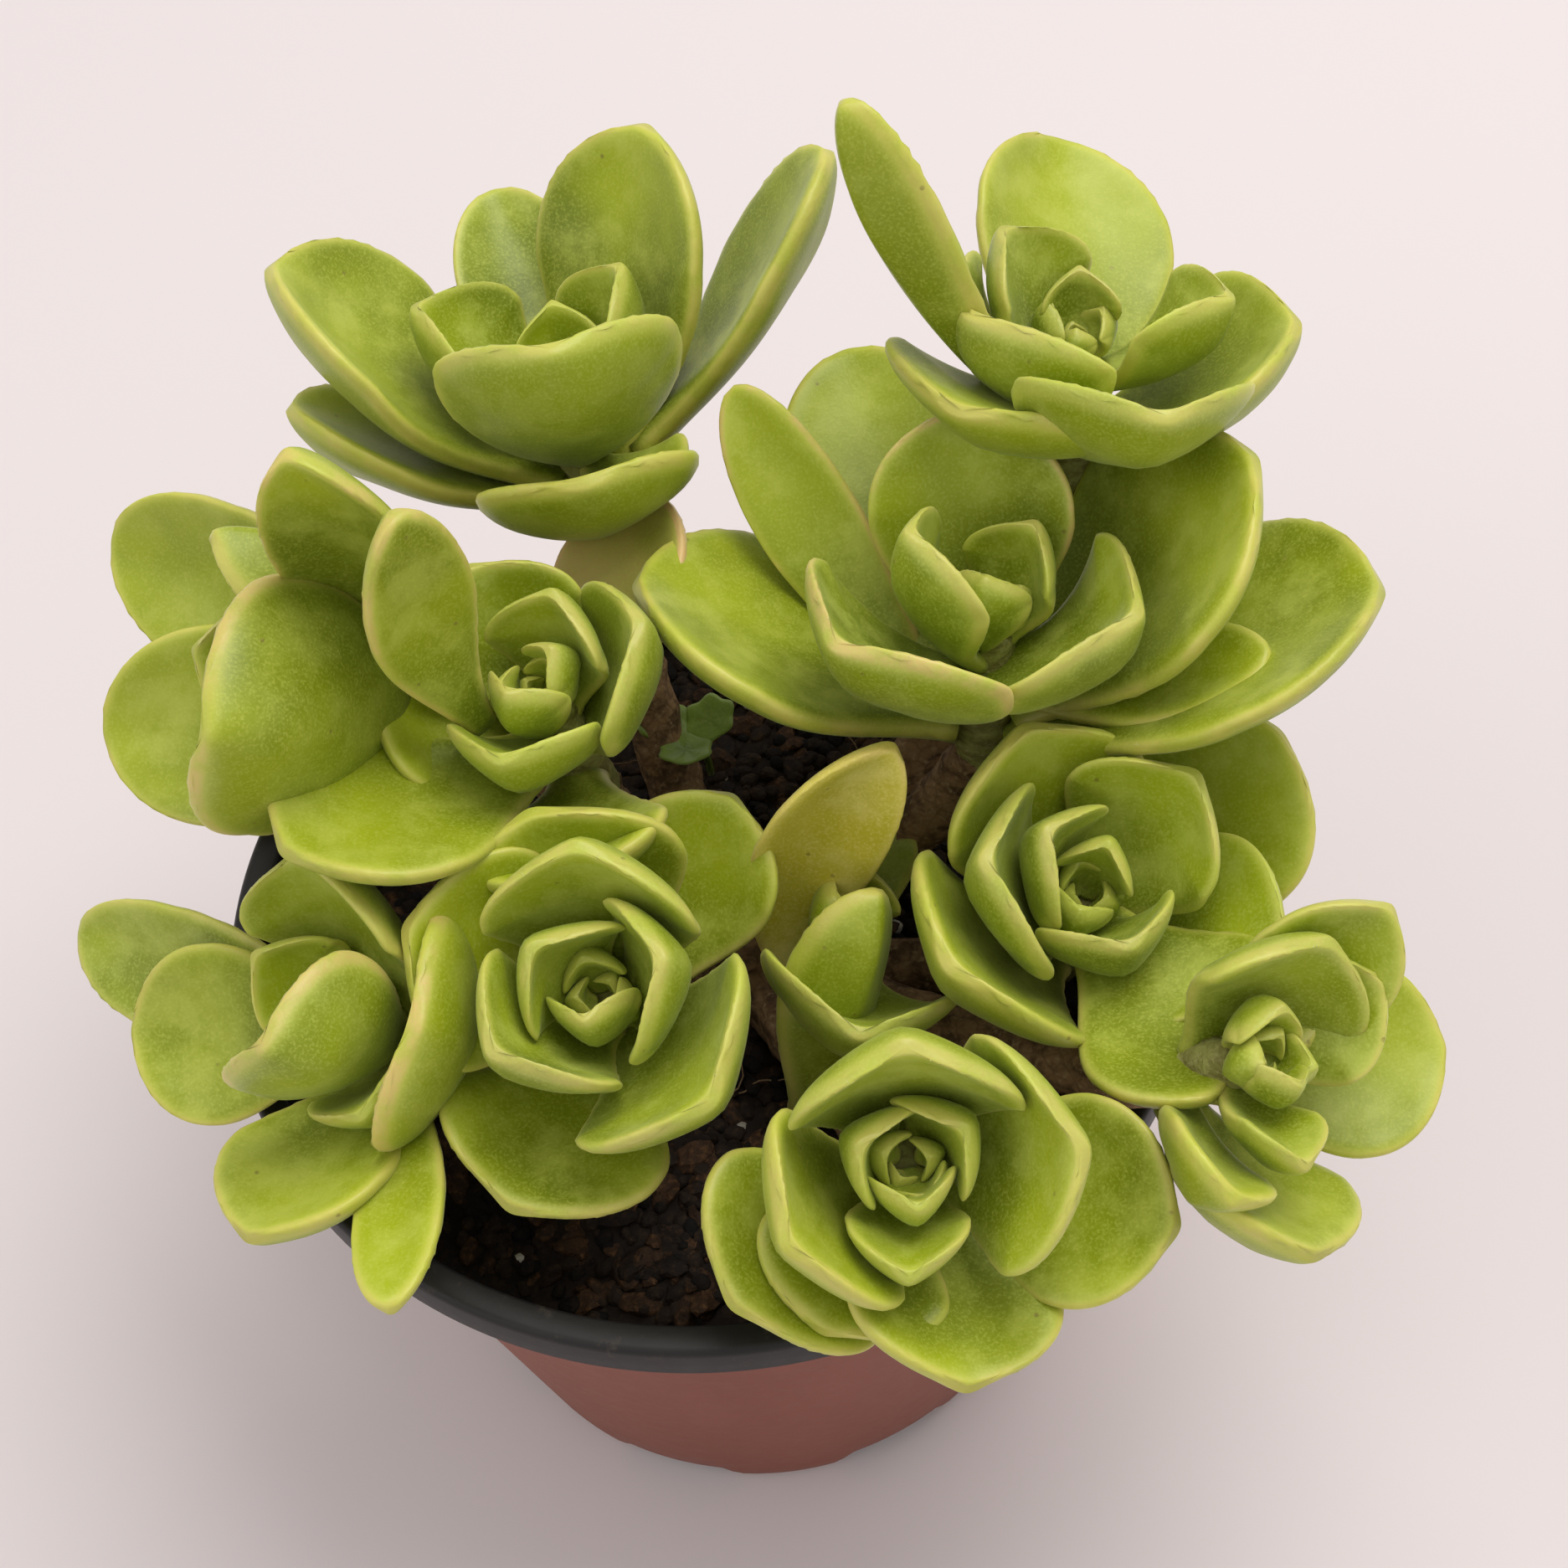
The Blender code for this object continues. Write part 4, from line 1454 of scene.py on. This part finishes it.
@dataclass
class SoilBed:
    """The bark and peat mix: a lumpy body with grains and root threads on it."""

    pot: NurseryPot
    top: float = 65 * MM
    lump: float = 1.3 * MM
    rings: int = 60
    turns: int = 180
    threads: int = 26
    seed: int = 21

    @property
    def spread(self) -> float:
        """The radius of the soil's top, inside the wall."""
        return self.pot.radius_at(self.top) - self.pot.wall - 0.35 * MM

    def height_at(self, x: Array, y: Array) -> Array:
        """Shapes the soil's top.

        Args:
            x: Places in metres.
            y: Places in metres.

        Returns:
            The height of the top at each.
        """
        broad = np.sin(x * 160 + 1.1) * np.cos(y * 140 + 0.4) + 0.6 * np.sin(x * 310 - y * 260)
        rough = np.sin(x * 900 + np.cos(y * 700) * 2) * np.cos(y * 1050 + np.sin(x * 650) * 2)
        fine = np.sin(x * 2300 + y * 900) * np.cos(y * 2500 - x * 800)
        dish = 1.6 * MM * smoothstep(0.75, 1.0, np.hypot(x, y) / self.spread)
        return self.top + self.lump * (0.45 * broad + 0.42 * rough + 0.16 * fine) - dish

    def build(self) -> list[bpy.types.Object]:
        """Builds the soil and everything loose on it.

        Returns:
            The body, the grains and the root threads.
        """
        ground = self.body()
        cover = self.cover()
        kinds = (
            Grit("bark_bits", Finish.BARK, 1.5e5, (0.9 * MM, 3.0 * MM), (1.0, 0.55, 0.3), 2, 0.5),
            Grit("peat_crumbs", Finish.SOIL, 3.2e5, (0.5 * MM, 1.5 * MM), (1.0, 0.8, 0.7), 4),
            Grit("perlite_grains", Finish.PERLITE, 7e3, (0.35 * MM, 0.95 * MM), (1.0, 0.9, 0.8), 6),
        )
        pieces = [kind.scatter(cover) for kind in kinds] + [self.roots()]
        bpy.data.objects.remove(cover, do_unlink=True)
        declare(ground, "potting_mix", "soil")
        for piece in pieces:
            declare(piece, "potting_mix")
        return [ground, *pieces]

    def body(self) -> bpy.types.Object:
        """The closed soil body.

        Returns:
            The piece.
        """
        foot = self.pot.base_radius - self.pot.wall - 1.2 * MM
        rows = [(foot * 0.6, self.pot.wall + 0.4 * MM), (foot, self.pot.wall + 0.5 * MM)]
        rows += [(self.spread - 0.6 * MM, self.top - 4 * MM)]
        data = MeshData()
        points = [np.array([0.0, 0.0, self.pot.wall + 0.4 * MM])]
        turns = np.arange(self.turns) * 2 * math.pi / self.turns
        for radius, height in rows:
            points += [np.array([radius * math.cos(a), radius * math.sin(a), height]) for a in turns]
        for k in range(self.rings):
            radius = self.spread * (1 - (k / self.rings) ** 1.15)
            x, y = radius * np.cos(turns), radius * np.sin(turns)
            points += list(np.stack([x, y, self.height_at(x, y)], -1))
        centre = np.zeros(1)
        points.append(np.array([0.0, 0.0, float(self.height_at(centre, centre)[0])]))
        total = len(rows) + self.rings
        faces: Faces = []
        n = self.turns
        for k in range(n):
            j = (k + 1) % n
            faces.append((0, 1 + j, 1 + k))
            for i in range(total - 1):
                low, high = 1 + i * n, 1 + (i + 1) * n
                faces.append((low + k, low + j, high + j, high + k))
            faces.append((1 + (total - 1) * n + k, 1 + (total - 1) * n + j, len(points) - 1))
        data.add(np.array(points), faces, 0, tone=np.full(len(points), 0.45))
        return data.build("soil_bed", [Finish.SOIL.material()])

    def cover(self) -> bpy.types.Object:
        """An open copy of the soil's top, on which the grains are scattered.

        Returns:
            A scratch object with the soil's own heights.
        """
        data = MeshData()
        size = 48
        step = np.linspace(-1, 1, size + 1) * self.spread * 0.965
        x, y = np.meshgrid(step, step, indexing="ij")
        points = np.stack([x, y, self.height_at(x, y)], -1).reshape(-1, 3)
        inside = np.hypot(points[:, 0], points[:, 1]) < self.spread * 0.965
        faces = []
        for i in range(size):
            for j in range(size):
                a = i * (size + 1) + j
                corners = (a, a + size + 1, a + size + 2, a + 1)
                if all(inside[c] for c in corners):
                    faces.append(corners)
        data.add(points, faces, 0)
        return data.build("soil_cover", [])

    def roots(self) -> bpy.types.Object:
        """Fine root threads that loop over the mix.

        Returns:
            The threads as one piece.
        """
        rng = np.random.default_rng(self.seed)
        data = MeshData()
        for _ in range(self.threads):
            turn, away = rng.uniform(0, 2 * math.pi), self.spread * rng.uniform(0.3, 0.86)
            here = np.array([away * math.cos(turn), away * math.sin(turn)])
            heading, bend = rng.uniform(0, 2 * math.pi), rng.uniform(-0.5, 0.5)
            path = []
            count = int(rng.integers(12, 30))
            for k in range(count):
                if np.hypot(*here) > self.spread * 0.9:
                    heading += 0.9
                arch = math.sin(math.pi * k / (count - 1))
                over = (0.2 + 1.6 * arch * rng.uniform(0.8, 1)) * MM
                height = float(self.height_at(here[:1], here[1:])[0]) + over
                path.append(np.array([here[0], here[1], height]))
                heading += bend * 0.5 + rng.uniform(-0.35, 0.35)
                here = here + np.array([math.cos(heading), math.sin(heading)]) * 0.9 * MM
            radius = rng.uniform(0.09, 0.2) * MM
            points, faces = tube_body(path, [radius * (1 - 0.6 * k / count) for k in range(count)], 6)
            data.add(points, faces, 0, tone=np.full(len(points), rng.uniform(0.2, 1.0)))
        return data.build("root_threads", [Finish.ROOT.material()])


@dataclass
class Seedling:
    """The small weed seedling: thin stalks with lobed leaves."""

    foot: Array = field(default_factory=lambda: np.array([1.0, 26.0, 65.5]) * MM)
    top: Array = field(default_factory=lambda: np.array([-1.0, 24.0, 76.0]) * MM)
    turns: tuple[float, ...] = (20, 150, 265)
    lobe: float = 3.4 * MM
    half_thickness: float = 0.28 * MM

    def build(self) -> bpy.types.Object:
        """Builds the seedling as one piece.

        Returns:
            The piece.
        """
        data = MeshData()
        share = np.linspace(0, 1, 10)
        bow = np.array([0.6, 0.3, 0.0]) * MM
        path = [self.foot + (self.top - self.foot) * t + bow * math.sin(math.pi * t) for t in share]
        self.add_tube(data, path, 0.45 * MM)
        for turn in self.turns:
            a = math.radians(turn)
            lean = unit(np.array([math.cos(a), math.sin(a), 0.3]))
            path = [self.top + lean * 1.2 * MM * t for t in np.linspace(0, 1, 5)]
            self.add_tube(data, path, 0.28 * MM)
            self.add_blade(data, self.top + lean * 3.2 * MM, lean)
        return data.build("seedling_sprout", [Finish.WEED.material()])

    @staticmethod
    def add_tube(data: MeshData, path: Sequence[Array], radius: float) -> None:
        """Adds a stalk.

        Args:
            data: The piece.
            path: The stalk's centre points.
            radius: Its radius.
        """
        points, faces = tube_body(path, [radius] * len(path), 8)
        data.add(points, faces, 0, leaf_map=np.tile([0.2, 0.3, 0.5, 0.0], (len(points), 1)))

    def add_blade(self, data: MeshData, centre: Array, lean: Array) -> None:
        """Adds one thin cupped blade with six round lobes.

        Args:
            data: The piece.
            centre: The blade's middle.
            lean: Which way it points.
        """
        side = unit(np.cross(lean, (0.0, 0.0, 1.0)))
        up = np.cross(side, lean)
        around, rings = 48, 7
        points = [centre]
        maps = [[0.0, 0.3, 0.9, 0.0]]
        for face in (1, -1):
            for i in range(1, rings + 1):
                share = i / rings
                for k in range(around):
                    turn = 2 * math.pi * k / around
                    radius = self.lobe * (0.93 + 0.07 * math.cos(6 * turn)) * share
                    lift = 0.5 * MM * share**2 + 0.12 * MM * math.cos(6 * turn) * share
                    thick = face * self.half_thickness * math.sqrt(max(0.0, 1 - share**6))
                    if face < 0 and i == rings:
                        continue
                    flat = (lean * math.cos(turn) + side * math.sin(turn)) * radius
                    points.append(centre + flat + up * (lift + thick))
                    maps.append([share**4, 0.3 + 0.7 * share, 0.9 if face > 0 else 0.1, 0.0])
        points.append(centre - up * self.half_thickness)
        points[0] = centre + up * self.half_thickness
        maps.append([0.0, 0.3, 0.1, 0.0])
        faces: Faces = []
        upper, lower, under = 1, 1 + rings * around, len(points) - 1
        for k in range(around):
            j = (k + 1) % around
            faces.append((0, upper + j, upper + k))
            faces.append((under, lower + k, lower + j))
            for i in range(rings - 1):
                a, b = upper + i * around, upper + (i + 1) * around
                faces.append((a + k, a + j, b + j, b + k))
                c = lower + i * around
                d = lower + (i + 1) * around if i < rings - 2 else upper + (rings - 1) * around
                faces.append((c + j, c + k, d + k, d + j))
        data.add(np.array(points), faces, 0, leaf_map=np.array(maps))


# ------------------------------------------------------------------ studio


@dataclass
class Studio:
    """Pale floor, soft overhead light and the camera."""

    eye: Colour = (0.0095, -0.1735, 0.3303)
    elevation: float = 53.4
    roll: float = -6.8
    field_of_view: float = 31.6
    floor_half: float = 12.0
    floor_colour: Colour = (0.715, 0.66, 0.662)
    sky_colour: Colour = (1.0, 0.97, 0.965)
    sky_strength: float = 0.66

    def build(self) -> None:
        """Builds the camera, the floor, the lights and the sky."""
        self.camera()
        self.floor()
        self.light("key", (0.35, 0.25, 1.2), 0.8, 9.5, (1.0, 0.98, 0.95))
        self.light("fill", (-1.0, -0.4, 0.9), 0.9, 2.0, (1.0, 0.97, 0.95))
        world = bpy.data.worlds.new("sky")
        world.use_nodes = True
        sky = world.node_tree.nodes["Background"].inputs
        sky["Color"].default_value = (*self.sky_colour, 1.0)
        sky["Strength"].default_value = self.sky_strength
        bpy.context.scene.world = world
        bpy.context.scene.view_settings.view_transform = "Standard"

    def camera(self) -> None:
        """Places the camera, looking down at the plant with a slight roll."""
        data = bpy.data.cameras.new("camera")
        data.angle = math.radians(self.field_of_view)
        data.clip_start = 0.01
        data.dof.use_dof = False
        eye = bpy.data.objects.new("camera", data)
        tilt = Matrix.Rotation(math.radians(90 - self.elevation), 4, "X")
        roll = Matrix.Rotation(math.radians(self.roll), 4, "Z")
        eye.matrix_world = Matrix.Translation(Vector(self.eye)) @ tilt @ roll
        bpy.context.scene.collection.objects.link(eye)
        bpy.context.scene.camera = eye

    def floor(self) -> None:
        """Lays the floor under the pot."""
        size = self.floor_half
        mesh = bpy.data.meshes.new("floor")
        corners = [(-size, -size, 0), (size, -size, 0), (size, size, 0), (-size, size, 0)]
        mesh.from_pydata(corners, [], [(0, 1, 2, 3)])
        s = Shader("floor_paper")
        tone = s.noise(3.0, 2.0)
        grain = s.noise(900.0, 2.0)
        paler = tuple(c * 1.04 for c in self.floor_colour)
        colour = s.mix(tone, self.floor_colour, paler)
        mesh.materials.append(s.finish(colour, 0.85, s.bump(grain, 0.05, 0.0002)))
        made = bpy.data.objects.new("floor", mesh)
        bpy.context.scene.collection.objects.link(made)

    @staticmethod
    def light(name: str, place: Colour, size: float, power: float, colour: Colour) -> None:
        """Adds a square soft light that faces the plant.

        Args:
            name: Its name.
            place: Where it hangs, in metres.
            size: Its side in metres.
            power: Its power in watts.
            colour: Its colour.
        """
        data = bpy.data.lights.new(name, "AREA")
        data.shape = "SQUARE"
        data.size = size
        data.energy = power
        data.color = colour
        lamp = bpy.data.objects.new(name, data)
        lamp.location = place
        toward = Vector((0.0, 0.0, 0.09)) - Vector(place)
        lamp.rotation_euler = toward.to_track_quat("-Z", "Y").to_euler()
        bpy.context.scene.collection.objects.link(lamp)


def main() -> None:
    """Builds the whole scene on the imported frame."""
    logging.basicConfig(level=logging.INFO, format="%(name)s: %(message)s", stream=sys.stdout)
    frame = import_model()
    LOG.info("frame: %d nodes", len(frame["nodes"]))
    pot = NurseryPot()
    declare(pot.build(), "pot_plastic", "nursery_pot")
    SoilBed(pot).build()
    declare(Stems(ROSETTES).build(), "woody_stem", "woody_stems")
    declare(Seedling().build(), "seedling_green", "weed_seedling")
    for number, rosette in enumerate(ROSETTES):
        pieces = RosetteBuilder(rosette, seed=number + 1).build()
        LOG.info("%s: %d pieces", rosette.name, len(pieces))
    Studio().build()


if __name__ == "__main__":
    main()
